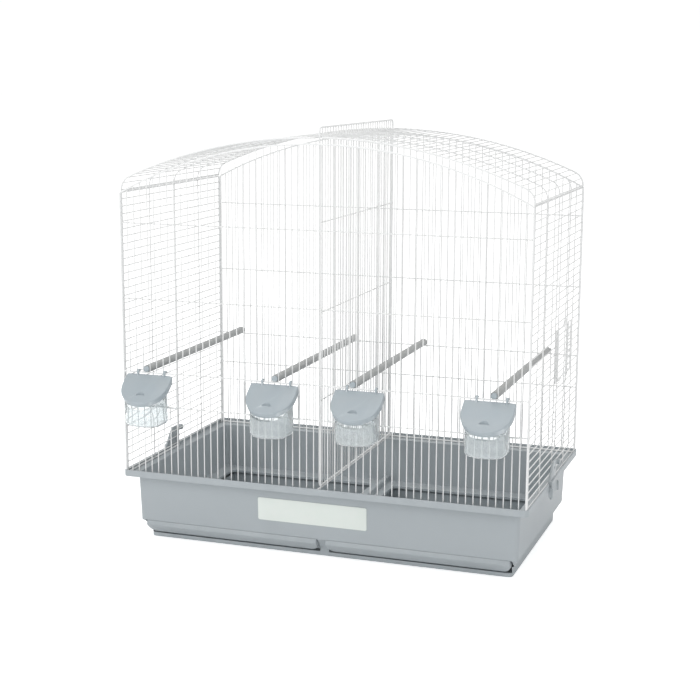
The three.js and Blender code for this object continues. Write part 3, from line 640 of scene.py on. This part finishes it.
def side_door(name, side):
    """A small door of bars outside its doorway, hung on two wire loops, with a catch plate on top."""
    x = side * (HALF_WIDTH + DOOR_OUT)
    near, far = -DOOR_LAP, DOOR_FAR + DOOR_LAP
    low, high = DOOR_LOW + DOOR_NECK, DOOR_HIGH + DOOR_LAP
    wires = [wire_loop(name, DOOR_WIRE, ((near, low), (far, high)), (1, 2, (x, 0, 0)), sides=8)]
    for number in range(1, DOOR_GAPS):
        z = low + (high - low) * number / DOOR_GAPS
        wires.append(bar((x, near, z), (x, far, z)))
    for y in (DOOR_LOOP_INSET, DOOR_FAR - DOOR_LOOP_INSET):
        hinge = (side * HALF_WIDTH, y, DOOR_LOW)
        down = ((-side * DOOR_LOOP, 0, DOOR_LOW - low),)
        round_wire = (hinge, (0, -side, 0), math.radians(310), 12)
        wires.append(bent("hinge_loop", DOOR_LOOP, (x, y, low), (0, 0, -1), [down, round_wire], 8))
    wires.append(door_catch(x, (near + far) / 2, high))
    return joined(name, wires)


# Moulded pieces


def rounded_plane(name, width, depth, radius, height, steps=6):
    """A level rectangle with rounded corners."""
    piece = added(name, bpy.ops.mesh.primitive_plane_add, size=1, location=(0, 0, height))
    piece.scale = (width, depth, 1)
    settled(piece)
    edit(piece)
    bpy.ops.mesh.select_all(action="SELECT")
    bpy.ops.mesh.bevel(offset=radius, segments=steps, affect="VERTICES")
    done()
    return piece


def raised(piece, levels):
    """Draws the top face through levels of height, width and depth, from the first one up."""
    edit(piece)
    bpy.ops.mesh.select_all(action="SELECT")
    height, width, depth = levels[0]
    for next_height, next_width, next_depth in levels[1:]:
        bpy.ops.mesh.extrude_region_move(TRANSFORM_OT_translate={"value": (0, 0, next_height - height)})
        bpy.ops.transform.resize(
            value=(next_width / width, next_depth / depth, 1), center_override=(0, 0, next_height)
        )
        height, width, depth = next_height, next_width, next_depth
    done()
    return outward(piece)


def cut_bay(tray, side):
    """Cuts a drawer's room, the seat of its front, open corners beside it, a hatch and the underside."""
    def room(name, span, depth, heights):
        return block(name, mirrored(side, span), depth, heights)

    cut(tray, room("bay", *BAY))
    cut(tray, room("seat", *SEAT))
    cut(tray, room("upper_corner", *UPPER_CORNER))
    cut(tray, room("lower_corner", *LOWER_CORNER))
    hatch = room("hatch", *HATCH)
    edit(hatch)
    pick(hatch, "EDGE", lambda edge: abs(along(edge).z) > 5 * mm)
    bpy.ops.mesh.bevel(offset=HATCH_CORNER, segments=5)
    done()
    cut(tray, hatch)
    cut(tray, room("underside", *UNDERSIDE))


def add_lugs(tray, side):
    """Two lugs under the rim that hold the latch's pin, with their outer corners cut off."""
    (inside, outside), (low, high) = LUG_OUT, LUG_HEIGHTS
    outline = [
        (side * inside, low),
        (side * (outside - LUG_CHAMFER), low),
        (side * outside, low + LUG_CHAMFER),
        (side * outside, high - LUG_CHAMFER),
        (side * (outside - LUG_CHAMFER), high),
        (side * inside, high),
    ]
    for span in LUGS:
        cut(tray, plate("lug", outline, "Y", *span), "UNION")


def tray_housing():
    """Plinth, leaning wall, turned rim and inner shelf in one draw, then drawer bays, lugs and ridge."""
    levels = [
        (0, *FOOT_OUTLINE),
        (PLINTH_TOP, *PLINTH_OUTLINE),
        (WALL_FOOT, *STEP_OUTLINE),
        (WALL_FOOT, *WALL_FOOT_OUTLINE),
        (WALL_TOP, *WALL_TOP_OUTLINE),
        (WALL_TOP, *RIM_INSIDE),
        (RIM_FOOT, *RIM_INSIDE),
        (RIM_FOOT, *RIM_OUTSIDE),
        (RIM_TOP, *RIM_OUTSIDE),
        (RIM_TOP, *RIM_INSIDE),
        (FLANGE_TOP, *RIM_INSIDE),
        (FLANGE_TOP, *WALL_INSIDE),
        (SHELF_TOP, *SHELF_OUTLINE),
    ]
    tray = rounded_plane("tray_housing", *FOOT_OUTLINE, TRAY_CORNER, 0)
    raised(tray, levels)
    softened(tray, 0.6 * mm, 3, 25)
    for side in (-1, 1):
        cut_bay(tray, side)
        add_lugs(tray, side)
    ridge = block("ridge", (-4 * mm, 4 * mm), (-171 * mm, 171 * mm), (BAY_TOP, RIDGE_TOP))
    softened(ridge, 1.5 * mm, 3)
    cut(tray, ridge, "UNION")
    return outward(tray)


def drawer(name, side):
    """An open tray behind a front that leans out to a rounded brow."""
    start, end = mirrored(side, FACE_SPAN)
    profile = [
        (-156.3 * mm, FACE_FOOT),
        (-154.3 * mm, FACE_FOOT),
        (-154.3 * mm, FACE_TOP),
        (-173.9 * mm, FACE_TOP),
        (-175.9 * mm, BROW_HEIGHT),
        (-160.4 * mm, FACE_FOOT),
    ]
    face = plate(name, profile, "X", start, end)
    middle, half = (start + end) / 2, abs(end - start) / 2
    outline = [(middle - half, FACE_TOP)]
    corners = ((middle - half + FACE_CORNER, math.pi), (middle + half - FACE_CORNER, 1.5 * math.pi))
    for centre, first in corners:
        for step in range(7):
            turn = first + step * math.pi / 12
            x = centre + FACE_CORNER * math.cos(turn)
            outline.append((x, FACE_FOOT + FACE_CORNER * (1 + math.sin(turn))))
    outline.append((middle + half, FACE_TOP))
    cut(face, plate("rounded", outline, "Y", -190 * mm, -150 * mm), "INTERSECT")
    softened(face, 1.1 * mm, 3, 25)
    shell = block("shell", mirrored(side, DRAWER_SPAN), DRAWER_DEPTH, (FACE_FOOT, DRAWER_TOP))
    softened(shell, 1.5 * mm, 2)
    edit(shell)
    pick(shell, "FACE", level_face(DRAWER_TOP))
    bpy.ops.mesh.inset(thickness=DRAWER_WALL)
    bpy.ops.mesh.extrude_region_move(TRANSFORM_OT_translate={"value": (0, 0, -DRAWER_HOLLOW)})
    done()
    return cut(face, shell, "UNION")


def latch_rod(name, side, radius, length, place, rotation, sides):
    """A round part of the latch: its hole, its knob or its pin."""
    rod = added(
        name,
        bpy.ops.mesh.primitive_cylinder_add,
        vertices=sides,
        radius=radius,
        depth=length,
        location=(side * place[0], place[1], place[2]),
        rotation=rotation,
    )
    return settled(rod)


def latch(name, side):
    """A plate with a tapering top and a hole, a tongue outside the rim, a knob and a pin."""
    upper = [
        (LATCH_FRONT, LATCH_SILL),
        (LATCH_BACK, LATCH_SILL),
        (LATCH_BACK, LATCH_TOP),
        (LATCH_APEX, LATCH_TOP),
        (LATCH_FRONT, LATCH_KNEE),
    ]
    clip = plate(name, upper, "X", *mirrored(side, PLATE_OUT))
    width = (LATCH_FRONT, LATCH_BACK)
    for word, out, depth, heights in (
        ("knee", KNEE_OUT, width, (LATCH_SILL, LATCH_KNEE)),
        ("tongue", TONGUE_OUT, width, (LATCH_FOOT, TONGUE_TOP)),
        ("arm", ARM_OUT, (LATCH_APEX, KNOB_Y), ARM_HEIGHTS),
    ):
        cut(clip, block(word, mirrored(side, out), depth, heights), "UNION")
    softened(clip, 0.7 * mm, 2)
    across, lengthwise = (0, math.pi / 2, 0), (math.pi / 2, 0, 0)
    cut(clip, latch_rod("hole", side, 3 * mm, 12 * mm, HOLE, across, 24))
    knob = latch_rod("knob", side, 5 * mm, 6 * mm, KNOB, across, 24)
    softened(knob, 1.2 * mm, 3)
    pin = latch_rod("pin", side, 2 * mm, PIN_LENGTH, PIN, lengthwise, 16)
    softened(pin, 0.4 * mm, 1)
    cut(clip, knob, "UNION")
    cut(clip, pin, "UNION")
    return outward(clip)


def label_plate():
    """A bare plate with rounded corners that lies on the leaning front wall."""
    low, high, left, right = 54.5 * mm, 91.5 * mm, -106 * mm, 76 * mm
    corner, thickness, clearance = 3 * mm, 0.6 * mm, 0.15 * mm
    lean_from, lean_rise, lean_gain = 32 * mm, 80.2 * mm, 5 * mm

    def wall(z):
        depth = WALL_FOOT_OUTLINE[1] + lean_gain * (z - lean_from) / lean_rise
        return -depth / 2 - clearance

    foot = Vector((0, wall(low), low))
    rise = Vector((0, wall(high), high)) - foot
    outline = []
    for x, y, first in (
        (right - corner, corner, -0.5),
        (right - corner, rise.length - corner, 0),
        (left + corner, rise.length - corner, 0.5),
        (left + corner, corner, 1),
    ):
        for step in range(6):
            turn = math.pi * (first + step / 10)
            outline.append((x + corner * math.cos(turn), y + corner * math.sin(turn)))
    piece = plate("label_plate", outline, "Z", 0, thickness)
    softened(piece, 0.2 * mm, 2)
    up = rise.normalized()
    out = Vector((1, 0, 0)).cross(up)
    on_wall = Matrix((
        (1, up.x, out.x, foot.x),
        (0, up.y, out.y, foot.y),
        (0, up.z, out.z, foot.z),
        (0, 0, 0, 1),
    ))
    piece.data.transform(on_wall)
    return outward(piece)


def perch(name, x):
    """A rod with thinner tips held between two bars, flat underneath where they sit on the port frames."""
    shoulder = FACE_Y - 1.3 * mm
    rod = added(
        name,
        bpy.ops.mesh.primitive_cylinder_add,
        vertices=28,
        radius=PERCH_RADIUS,
        depth=2 * shoulder,
        location=(x, 0, PERCH_Z),
        rotation=(math.pi / 2, 0, 0),
    )
    settled(rod)
    thin = PERCH_TIP_RADIUS / PERCH_RADIUS
    clear = 8 * mm
    for side in (-1, 1):
        edit(rod)
        pick(rod, "FACE", lambda face: face.normal.y * side > 0.99)
        bpy.ops.mesh.extrude_region_move(TRANSFORM_OT_translate={"value": (0, 0, 0)})
        bpy.ops.transform.resize(value=(thin, 1, thin), center_override=(x, side * shoulder, PERCH_Z))
        tip = (0, side * (PERCH_HALF - shoulder), 0)
        bpy.ops.mesh.extrude_region_move(TRANSFORM_OT_translate={"value": tip})
        done()
        reach = mirrored(side, (FACE_Y - 2.6 * mm, PERCH_HALF + clear))
        cut(rod, block("seat", (x - clear, x + clear), reach, (PERCH_Z - clear, PERCH_SEAT_Z)))
    outward(rod)
    return softened(rod, 0.4 * mm, 2)


def bow(back_width, width, length, side_run, steps=28):
    """An outline with a straight back at zero, sides that swell and a full round front towards -Y."""
    def swell(value):
        return math.copysign(abs(value) ** (1 / 1.1), value)

    points = [(-back_width / 2, 0)]
    for step in range(steps + 1):
        turn = math.pi + step * math.pi / steps
        out = (length - side_run) * swell(math.sin(turn))
        points.append((width / 2 * swell(math.cos(turn)), out - side_run))
    return points + [(back_width / 2, 0)]


def rounded_back(outline, radius, steps=5):
    """The same outline with its two back corners rounded."""
    first, last = outline[0], outline[-1]
    left, right = [], []
    for step in range(steps + 1):
        turn = math.pi / 2 * step / steps
        from_side, from_back = radius * (1 - math.sin(turn)), radius * (1 - math.cos(turn))
        left.append((first[0] + from_side, first[1] - from_back))
        right.append((last[0] - from_back, last[1] - from_side))
    return left + outline[1:-1] + right


def cup_hook(middle):
    """A hook at the cup's back that goes over the port's lower wire."""
    near, inner, outer = -0.8 * mm, 6.3 * mm, 8.1 * mm
    tip, under, top = 25.1 * mm, 27.3 * mm, 29.1 * mm
    outline = [(near, under), (inner, under), (inner, tip), (outer, tip), (outer, top), (near, top)]
    hook = plate("hook", outline, "X", middle - 4 * mm, middle + 4 * mm)
    return softened(hook, 0.4 * mm, 2)


def cup(name, x):
    """A deep D-shaped cup with a rounded foot, a sloping rim and two hooks over the port's lower wire."""
    outline = bow(CUP_WIDTH, CUP_WIDTH, CUP_LENGTH, CUP_SIDE_RUN)
    shell = plate(name, outline, "Z", CUP_ROUNDING, CUP_HEIGHT)
    edit(shell)
    pick(shell, "FACE", level_face(CUP_ROUNDING, -1))
    steps = 6
    for step in range(1, steps + 1):
        turn, last = step * math.pi / 2 / steps, (step - 1) * math.pi / 2 / steps
        rise = CUP_ROUNDING * (math.sin(last) - math.sin(turn))
        bpy.ops.mesh.inset(thickness=CUP_ROUNDING * (math.cos(last) - math.cos(turn)))
        bpy.ops.transform.translate(value=(0, 0, rise))
    pick(shell, "FACE", level_face(CUP_HEIGHT))
    bpy.ops.mesh.delete(type="FACE")
    bpy.ops.mesh.select_all(action="SELECT")
    bpy.ops.mesh.bisect(plane_co=(0, 0, CUP_RIM_Z), plane_no=LID_NORMAL, clear_outer=True)
    done()
    modified(shell, "SOLIDIFY", thickness=CUP_WALL, offset=-1, use_even_offset=True)
    low_back = ((-29.9 * mm, 29.9 * mm), (-3.2 * mm, 3 * mm), (28.2 * mm, CUP_HEIGHT))
    cut(shell, block("back_cut", *low_back))
    softened(shell, 0.5 * mm, 2, 40)
    for middle in (-20 * mm, 20 * mm):
        cut(shell, cup_hook(middle), "UNION")
    shell.data.transform(Matrix.Translation((x, CUP_BACK, CUP_FOOT)))
    return outward(shell)


def lid_hook(x):
    """A flat hook that goes over the wire, with a gusset down to the lid's back edge."""
    inside, outside = 3.1 * mm, 4.5 * mm
    angles = [math.radians(205 - 225 * step / 14) for step in range(15)]
    outline = [(outside * math.cos(turn), outside * math.sin(turn)) for turn in angles]
    outline += [(inside * math.cos(turn), inside * math.sin(turn)) for turn in reversed(angles)]
    hook = plate("lid_hook", outline, "X", x - 1.7 * mm, x + 1.7 * mm)
    softened(hook, 0.3 * mm, 2, 50)
    foot = LID_TOP - mm
    gusset = [
        (LID_BACK - 6 * mm, foot),
        (LID_BACK, foot),
        (LID_BACK, 1.2 * mm),
        (LID_BACK - 0.6 * mm, 2 * mm),
    ]
    web = plate("gusset", gusset, "X", x - 1.1 * mm, x + 1.1 * mm)
    return [hook, softened(web, 0.3 * mm, 1)]


def half_disc(radius):
    """The outline of a finger pocket: half round, flat in front."""
    turns = [math.pi * step / 20 for step in range(21)]
    return [(radius * math.cos(turn), POCKET_SHARE * radius * math.sin(turn)) for turn in turns]


def lid_shell(name):
    """The lid's top and skirt, lying level with its hinge line at the origin."""
    outline = bow(LID_BACK_WIDTH, LID_WIDTH, LID_LENGTH, LID_SIDE_RUN)
    outline = rounded_back([(x, y + LID_BACK) for x, y in outline], LID_CORNER)
    shell = plate(name, outline, "Z", LID_TOP - LID_DEPTH, LID_TOP)

    def rim_edge(edge):
        at_back = all(abs(corner.co.y - LID_BACK) < TOUCHING for corner in edge.verts)
        return level_edge(edge, LID_TOP) and not at_back

    edit(shell)
    pick(shell, "FACE", level_face(LID_TOP - LID_DEPTH, -1))
    bpy.ops.mesh.delete(type="FACE")
    pick(shell, "EDGE", rim_edge)
    bpy.ops.mesh.bevel(offset=1.5 * mm, segments=4)
    done()
    return modified(shell, "SOLIDIFY", thickness=LID_WALL, offset=-1, use_even_offset=True)


def add_pocket(shell, place):
    """Sinks an upright half-round finger pocket into the lid, with a floor of its own under the top."""
    spot = place @ Vector((0, LID_BACK - LID_LENGTH + POCKET_FROM_FRONT, LID_TOP + 0.2 * mm))
    under = plate("pocket_floor", half_disc(POCKET_RADIUS + LID_WALL), "Z", -1.6 * mm, 9 * mm)
    under.data.transform(Matrix.Translation(spot))
    edit(under)
    bpy.ops.mesh.select_all(action="SELECT")
    below_top = spot - 0.8 * mm * LID_NORMAL
    bpy.ops.mesh.bisect(plane_co=below_top, plane_no=LID_NORMAL, use_fill=True, clear_outer=True)
    done()
    cut(shell, outward(under), "UNION")
    pocket = plate("pocket", half_disc(POCKET_RADIUS), "Z", 0, 14 * mm)
    pocket.data.transform(Matrix.Translation(spot))
    cut(shell, pocket)


def lid(name, x):
    """A sloping lid with a skirt, hung by two hooks, with a half-round finger pocket near its front."""
    place = Matrix.Translation((x, HINGE_Y, HINGE_Z)) @ Matrix.Rotation(LID_TILT, 4, "X")
    shell = lid_shell(name)
    shell.data.transform(place)
    edit(shell)
    bpy.ops.mesh.select_all(action="SELECT")
    clear = (0, LID_CLEAR_OF_BARS, 0)
    bpy.ops.mesh.bisect(plane_co=clear, plane_no=(0, 1, 0), use_fill=True, clear_outer=True)
    done()
    outward(shell)
    add_pocket(shell, place)
    softened(shell, 0.35 * mm, 2, 50)
    hooks = []
    for middle in (BAR_PITCH / 4 - 2 * BAR_PITCH, BAR_PITCH / 4 + 2 * BAR_PITCH):
        hooks += lid_hook(middle)
    for piece in hooks:
        piece.data.transform(place)
    return joined(name, [shell] + hooks)


# Finishes


def group(name, inputs, outputs):
    """A shader node group with named inputs and outputs, and the two nodes at its ends."""
    tree = bpy.data.node_groups.new(name, "ShaderNodeTree")
    for label, kind, value in inputs:
        socket = tree.interface.new_socket(name=label, in_out="INPUT", socket_type=kind)
        socket.default_value = value
    for label, kind in outputs:
        tree.interface.new_socket(name=label, in_out="OUTPUT", socket_type=kind)
    return tree, tree.nodes.new("NodeGroupInput"), tree.nodes.new("NodeGroupOutput")


def node(tree, kind, inputs=None, **values):
    """Adds a node, sets its values and feeds its inputs with numbers, colours or other sockets."""
    made = tree.nodes.new(kind)
    for key, value in values.items():
        setattr(made, key, value)
    for key, value in (inputs or {}).items():
        if isinstance(value, bpy.types.NodeSocket):
            tree.links.new(value, made.inputs[key])
        else:
            made.inputs[key].default_value = value
    return made


def noise(tree, scale, detail, **inputs):
    """Noise on the piece's own coordinates."""
    place = node(tree, "ShaderNodeTexCoord").outputs["Object"]
    feeds = {"Vector": place, "Scale": scale, "Detail": detail, **inputs}
    return node(tree, "ShaderNodeTexNoise", feeds).outputs["Fac"]


def stretched(tree, value, source, target=(0, 1)):
    """One range of a value mapped onto another."""
    feeds = {"Value": value, "From Min": source[0], "From Max": source[1]}
    feeds.update({"To Min": target[0], "To Max": target[1]})
    return node(tree, "ShaderNodeMapRange", feeds).outputs["Result"]


def maths(tree, operation, first, second):
    """Two values added or multiplied, or the larger of them."""
    return node(tree, "ShaderNodeMath", {0: first, 1: second}, operation=operation).outputs["Value"]


MIX_FIRST, MIX_SECOND, MIX_RESULT = 6, 7, 2


def mixed(tree, factor, first, second):
    """A colour between two others, on the colour sockets of a mix node."""
    feeds = {"Factor": factor, MIX_FIRST: first, MIX_SECOND: second}
    return node(tree, "ShaderNodeMix", feeds, data_type="RGBA").outputs[MIX_RESULT]


def new_material(name):
    """A material, its node tree and its shader."""
    made = bpy.data.materials.new(name)
    made.use_nodes = True
    return made, made.node_tree, made.node_tree.nodes["Principled BSDF"]


def add_relief(tree, shader, height, strength, depth):
    """Bumps the surface by a height."""
    relief = node(tree, "ShaderNodeBump", {"Height": height, "Strength": strength, "Distance": depth})
    tree.links.new(relief.outputs["Normal"], shader.inputs["Normal"])


def moulded_grain():
    """Fine eroded texture of a moulding tool, with soft flow waves."""
    floats = [("Grain scale", "NodeSocketFloat", 900), ("Wave scale", "NodeSocketFloat", 18)]
    results = [("Height", "NodeSocketFloat"), ("Variation", "NodeSocketFloat")]
    tree, source, out = group("moulded_grain", floats, results)
    fine = noise(tree, source.outputs["Grain scale"], 2)
    wave = noise(tree, source.outputs["Wave scale"], 3)
    both = node(tree, "ShaderNodeMix", {"Factor": 0.25, "A": fine, "B": wave})
    tree.links.new(both.outputs["Result"], out.inputs["Height"])
    tree.links.new(wave, out.inputs["Variation"])
    return tree


def edge_wear():
    """Where corners are rubbed: convex edges, broken up by noise."""
    floats = [
        ("Start", "NodeSocketFloat", 0.52),
        ("Reach", "NodeSocketFloat", 0.62),
        ("Patch scale", "NodeSocketFloat", 60),
    ]
    tree, source, out = group("edge_wear", floats, [("Mask", "NodeSocketFloat")])
    bend = node(tree, "ShaderNodeNewGeometry").outputs["Pointiness"]
    edges = stretched(tree, bend, (source.outputs["Start"], source.outputs["Reach"]))
    patches = stretched(tree, noise(tree, source.outputs["Patch scale"], 4), (0.4, 0.65))
    tree.links.new(maths(tree, "MULTIPLY", edges, patches), out.inputs["Mask"])
    return tree


def settled_dust():
    """Dust that settles on faces that look up, thicker in patches."""
    floats = [("Amount", "NodeSocketFloat", 0.3), ("Patch scale", "NodeSocketFloat", 25)]
    tree, source, out = group("settled_dust", floats, [("Mask", "NodeSocketFloat")])
    facing = node(tree, "ShaderNodeNewGeometry").outputs["Normal"]
    split = node(tree, "ShaderNodeSeparateXYZ", {"Vector": facing})
    upward = stretched(tree, split.outputs["Z"], (0.3, 1))
    patches = stretched(tree, noise(tree, source.outputs["Patch scale"], 6), (0.35, 0.75))
    both = maths(tree, "MULTIPLY", upward, patches)
    tree.links.new(maths(tree, "MULTIPLY", both, source.outputs["Amount"]), out.inputs["Mask"])
    return tree


GRAIN, WEAR, DUST = moulded_grain(), edge_wear(), settled_dust()


def linear(red, green, blue):
    """A screen colour from 0 to 255 as the shader wants it."""
    def channel(value):
        value /= 255
        return value / 12.92 if value <= 0.04045 else ((value + 0.055) / 1.055) ** 2.4
    return channel(red), channel(green), channel(blue), 1


DUSTY = linear(196, 194, 188)


def finish(
    name, colour, worn, rough, bump, grain=(900, 18), wear=(0.52, 0.64), dust=0.2, depth=0.06 * mm
):
    """A coloured plastic or paint: slow shade changes, rubbed edges, settled dust and a moulded surface."""
    made, tree, shader = new_material(name)
    texture = node(tree, "ShaderNodeGroup", node_tree=GRAIN)
    texture.inputs["Grain scale"].default_value, texture.inputs["Wave scale"].default_value = grain
    rubbed = node(tree, "ShaderNodeGroup", node_tree=WEAR)
    rubbed.inputs["Start"].default_value, rubbed.inputs["Reach"].default_value = wear
    settled_on = node(tree, "ShaderNodeGroup", node_tree=DUST)
    settled_on.inputs["Amount"].default_value = dust
    shade = stretched(tree, texture.outputs["Variation"], (0, 1), (0.96, 1.04))
    base = node(tree, "ShaderNodeVectorMath", {0: colour[:3], "Scale": shade}, operation="SCALE")
    edges = mixed(tree, rubbed.outputs["Mask"], base.outputs["Vector"], worn)
    top = mixed(tree, settled_on.outputs["Mask"], edges, DUSTY)
    tree.links.new(top, shader.inputs["Base Color"])
    gloss = stretched(tree, texture.outputs["Variation"], (0, 1), rough)
    dull = maths(tree, "MULTIPLY", settled_on.outputs["Mask"], 0.3)
    tree.links.new(maths(tree, "ADD", gloss, dull), shader.inputs["Roughness"])
    add_relief(tree, shader, texture.outputs["Height"], bump, depth)
    return made


def clear_plastic():
    """Clear styrene: a faint cool tint, hair scratches in the gloss and soft moulding waves."""
    made, tree, shader = new_material("clear_cup_plastic")
    shader.inputs["Transmission Weight"].default_value = 0.8
    shader.inputs["IOR"].default_value = 1.08
    scratches = noise(tree, 140, 8, Roughness=0.7)
    gloss = stretched(tree, scratches, (0.4, 0.8), (0.02, 0.07))
    tree.links.new(gloss, shader.inputs["Roughness"])
    cloud = noise(tree, 20, 3)
    tint = mixed(tree, cloud, linear(236, 241, 243), linear(250, 252, 252))
    tree.links.new(tint, shader.inputs["Base Color"])
    add_relief(tree, shader, cloud, 0.1, 0.3 * mm)
    return made


TRAY_PLASTIC = finish(
    "tray_grey_plastic", linear(166, 173, 177), linear(190, 196, 199), rough=(0.34, 0.48), bump=0.35
)
LATCH_PLASTIC = finish(
    "latch_grey_plastic", linear(160, 167, 171), linear(188, 194, 197), rough=(0.3, 0.44), bump=0.3
)
LID_PLASTIC = finish(
    "lid_grey_plastic",
    linear(164, 174, 180),
    linear(196, 204, 208),
    rough=(0.26, 0.4),
    bump=0.2,
    dust=0.15,
)
PERCH_PLASTIC = finish(
    "perch_grey_plastic",
    linear(164, 166, 166),
    linear(186, 188, 188),
    rough=(0.42, 0.58),
    bump=0.5,
    dust=0.3,
)
WIRE_COAT = finish(
    "white_wire_coat",
    linear(234, 235, 235),
    linear(224, 224, 222),
    rough=(0.24, 0.38),
    bump=0.25,
    grain=(1400, 30),
    wear=(0.56, 0.7),
    dust=0.12,
    depth=0.03 * mm,
)
LABEL_CARD = finish(
    "label_white_plastic",
    linear(221, 228, 223),
    linear(232, 232, 230),
    rough=(0.3, 0.42),
    bump=0.15,
    dust=0.06,
)
CUP_PLASTIC = clear_plastic()


# Every piece on its body, in place of the solid that it stands for

SIDES = (("left", -1), ("right", 1))

shown(tray_housing(), "tray", TRAY_PLASTIC, ["tray_housing"])
shown(label_plate(), "tray", LABEL_CARD, ["label_plate"])
shown(end_grille("front_wires", -1, PORTS), "wire_body", WIRE_COAT, ["front_grille"], 60)
shown(end_grille("back_wires", 1, []), "wire_body", WIRE_COAT, ["back_grille"], 60)
shown(divider(), "divider", WIRE_COAT, ["divider_grille"], 60)
rest = bar((0, -REST_HALF, REST_Z), (0, REST_HALF, REST_Z), EDGE)
shown(joined("divider_rest", [rest]), "wire_body", WIRE_COAT, ["divider_rest_wire"], 60)
piece = side_door("side_door_wires", DOOR_SIDE)
shown(piece, "side_door_right", WIRE_COAT, ["side_door_right"], 60)
for word, side in SIDES:
    piece = drawer("drawer_front_and_tray_" + word, side)
    shown(piece, "drawer_" + word, TRAY_PLASTIC, ["drawer_" + word])
    piece = latch("latch_clip_" + word, side)
    shown(piece, "latch_" + word, LATCH_PLASTIC, ["latch_" + word])
    piece = side_grille("side_wires_" + word, side)
    shown(piece, "wire_body", WIRE_COAT, ["side_grille_" + word], 60)
    piece = roof_grille("roof_wires_" + word, side)
    shown(piece, "wire_body", WIRE_COAT, ["roof_grille_" + word], 60)
for count, number in enumerate(PERCH_BARS, 1):
    piece = perch(f"perch_rod_{count}", bar_x(number))
    shown(piece, "wire_body", PERCH_PLASTIC, [f"perch_{count}"])
    piece.data.materials.append(LID_PLASTIC)
    for face in piece.data.polygons:
        face.material_index = int(abs(face.center.y) > FACE_Y - mm)
for count, number in enumerate(FEEDER_BARS, 1):
    piece = cup(f"cup_{count}", bar_x(number))
    shown(piece, f"feeder_cup_{count}", CUP_PLASTIC, [f"feeder_cup_{count}"])
    piece = lid(f"lid_{count}", bar_x(number))
    shown(piece, f"feeder_hood_{count}", LID_PLASTIC, [f"feeder_hood_{count}"])
for rod in STOCK.values():
    bpy.data.objects.remove(rod)


# Floor, light and camera


def seen_rays(tree):
    """One for what the camera sees, also through the cups, and nothing for light on the cage."""
    rays = node(tree, "ShaderNodeLightPath").outputs
    return maths(tree, "MAXIMUM", rays["Is Camera Ray"], rays["Is Transmission Ray"])


def floor():
    """A wide pale floor, a little brighter where the camera sees it."""
    ground = added("floor", bpy.ops.mesh.primitive_plane_add, size=60, location=(0, 0, -0.2 * mm))
    made, tree, shader = new_material("pale_floor")
    shade = mixed(tree, noise(tree, 3, 4), linear(250, 250, 250), linear(254, 254, 254))
    tree.links.new(shade, shader.inputs["Base Color"])
    shader.inputs["Roughness"].default_value = 0.9
    shader.inputs["Emission Color"].default_value = (1, 1, 1, 1)
    glow = stretched(tree, seen_rays(tree), (0, 1), (0.1, 0.52))
    tree.links.new(glow, shader.inputs["Emission Strength"])
    ground.data.materials.append(made)


def soft_light(name, place, target, size, power):
    """A square soft lamp at a place, aimed at a target."""
    lamp = bpy.data.lights.new(name, "AREA")
    lamp.size, lamp.energy = size, power
    thing = bpy.data.objects.new(name, lamp)
    thing.location = place
    thing.rotation_euler = (Vector(target) - Vector(place)).to_track_quat("-Z", "Y").to_euler()
    bpy.context.scene.collection.objects.link(thing)


def studio_world():
    """White all round: bright behind the cage, softer as light on it."""
    world = bpy.data.worlds.new("studio")
    world.use_nodes = True
    tree = world.node_tree
    soft = tree.nodes["Background"]
    soft.inputs["Color"].default_value = (1, 1, 1, 1)
    soft.inputs["Strength"].default_value = 0.72
    behind = node(tree, "ShaderNodeBackground", {"Color": (1, 1, 1, 1), "Strength": 1.02})
    feeds = {0: seen_rays(tree), 1: soft.outputs[0], 2: behind.outputs[0]}
    both = node(tree, "ShaderNodeMixShader", feeds)
    tree.links.new(both.outputs[0], tree.nodes["World Output"].inputs["Surface"])
    bpy.context.scene.world = world


floor()
studio_world()
soft_light("key", place=(-1.2, -2.7, 1.7), target=(0, 0, 0.3), size=1.6, power=22)
soft_light("fill", place=(2.6, -1.2, 1.6), target=(0, 0, 0.3), size=1.8, power=4.5)
soft_light("top", place=(0, 0.2, 3.2), target=(0, 0, 0.2), size=2.4, power=30)
bpy.context.scene.view_settings.view_transform = "Standard"

lens = bpy.data.cameras.new("camera")
lens.lens, lens.sensor_width, lens.clip_end = FOCAL_LENGTH, SENSOR_WIDTH, 50
camera = bpy.data.objects.new("camera", lens)
turn = (
    Matrix.Rotation(math.radians(CAMERA_HEADING), 4, "Z")
    @ Matrix.Rotation(math.radians(CAMERA_PITCH), 4, "X")
    @ Matrix.Rotation(math.radians(CAMERA_ROLL), 4, "Y")
    @ Matrix.Rotation(math.radians(90), 4, "X")
)
camera.matrix_world = Matrix.Translation(CAMERA_PLACE) @ turn
bpy.context.scene.collection.objects.link(camera)
bpy.context.scene.camera = camera
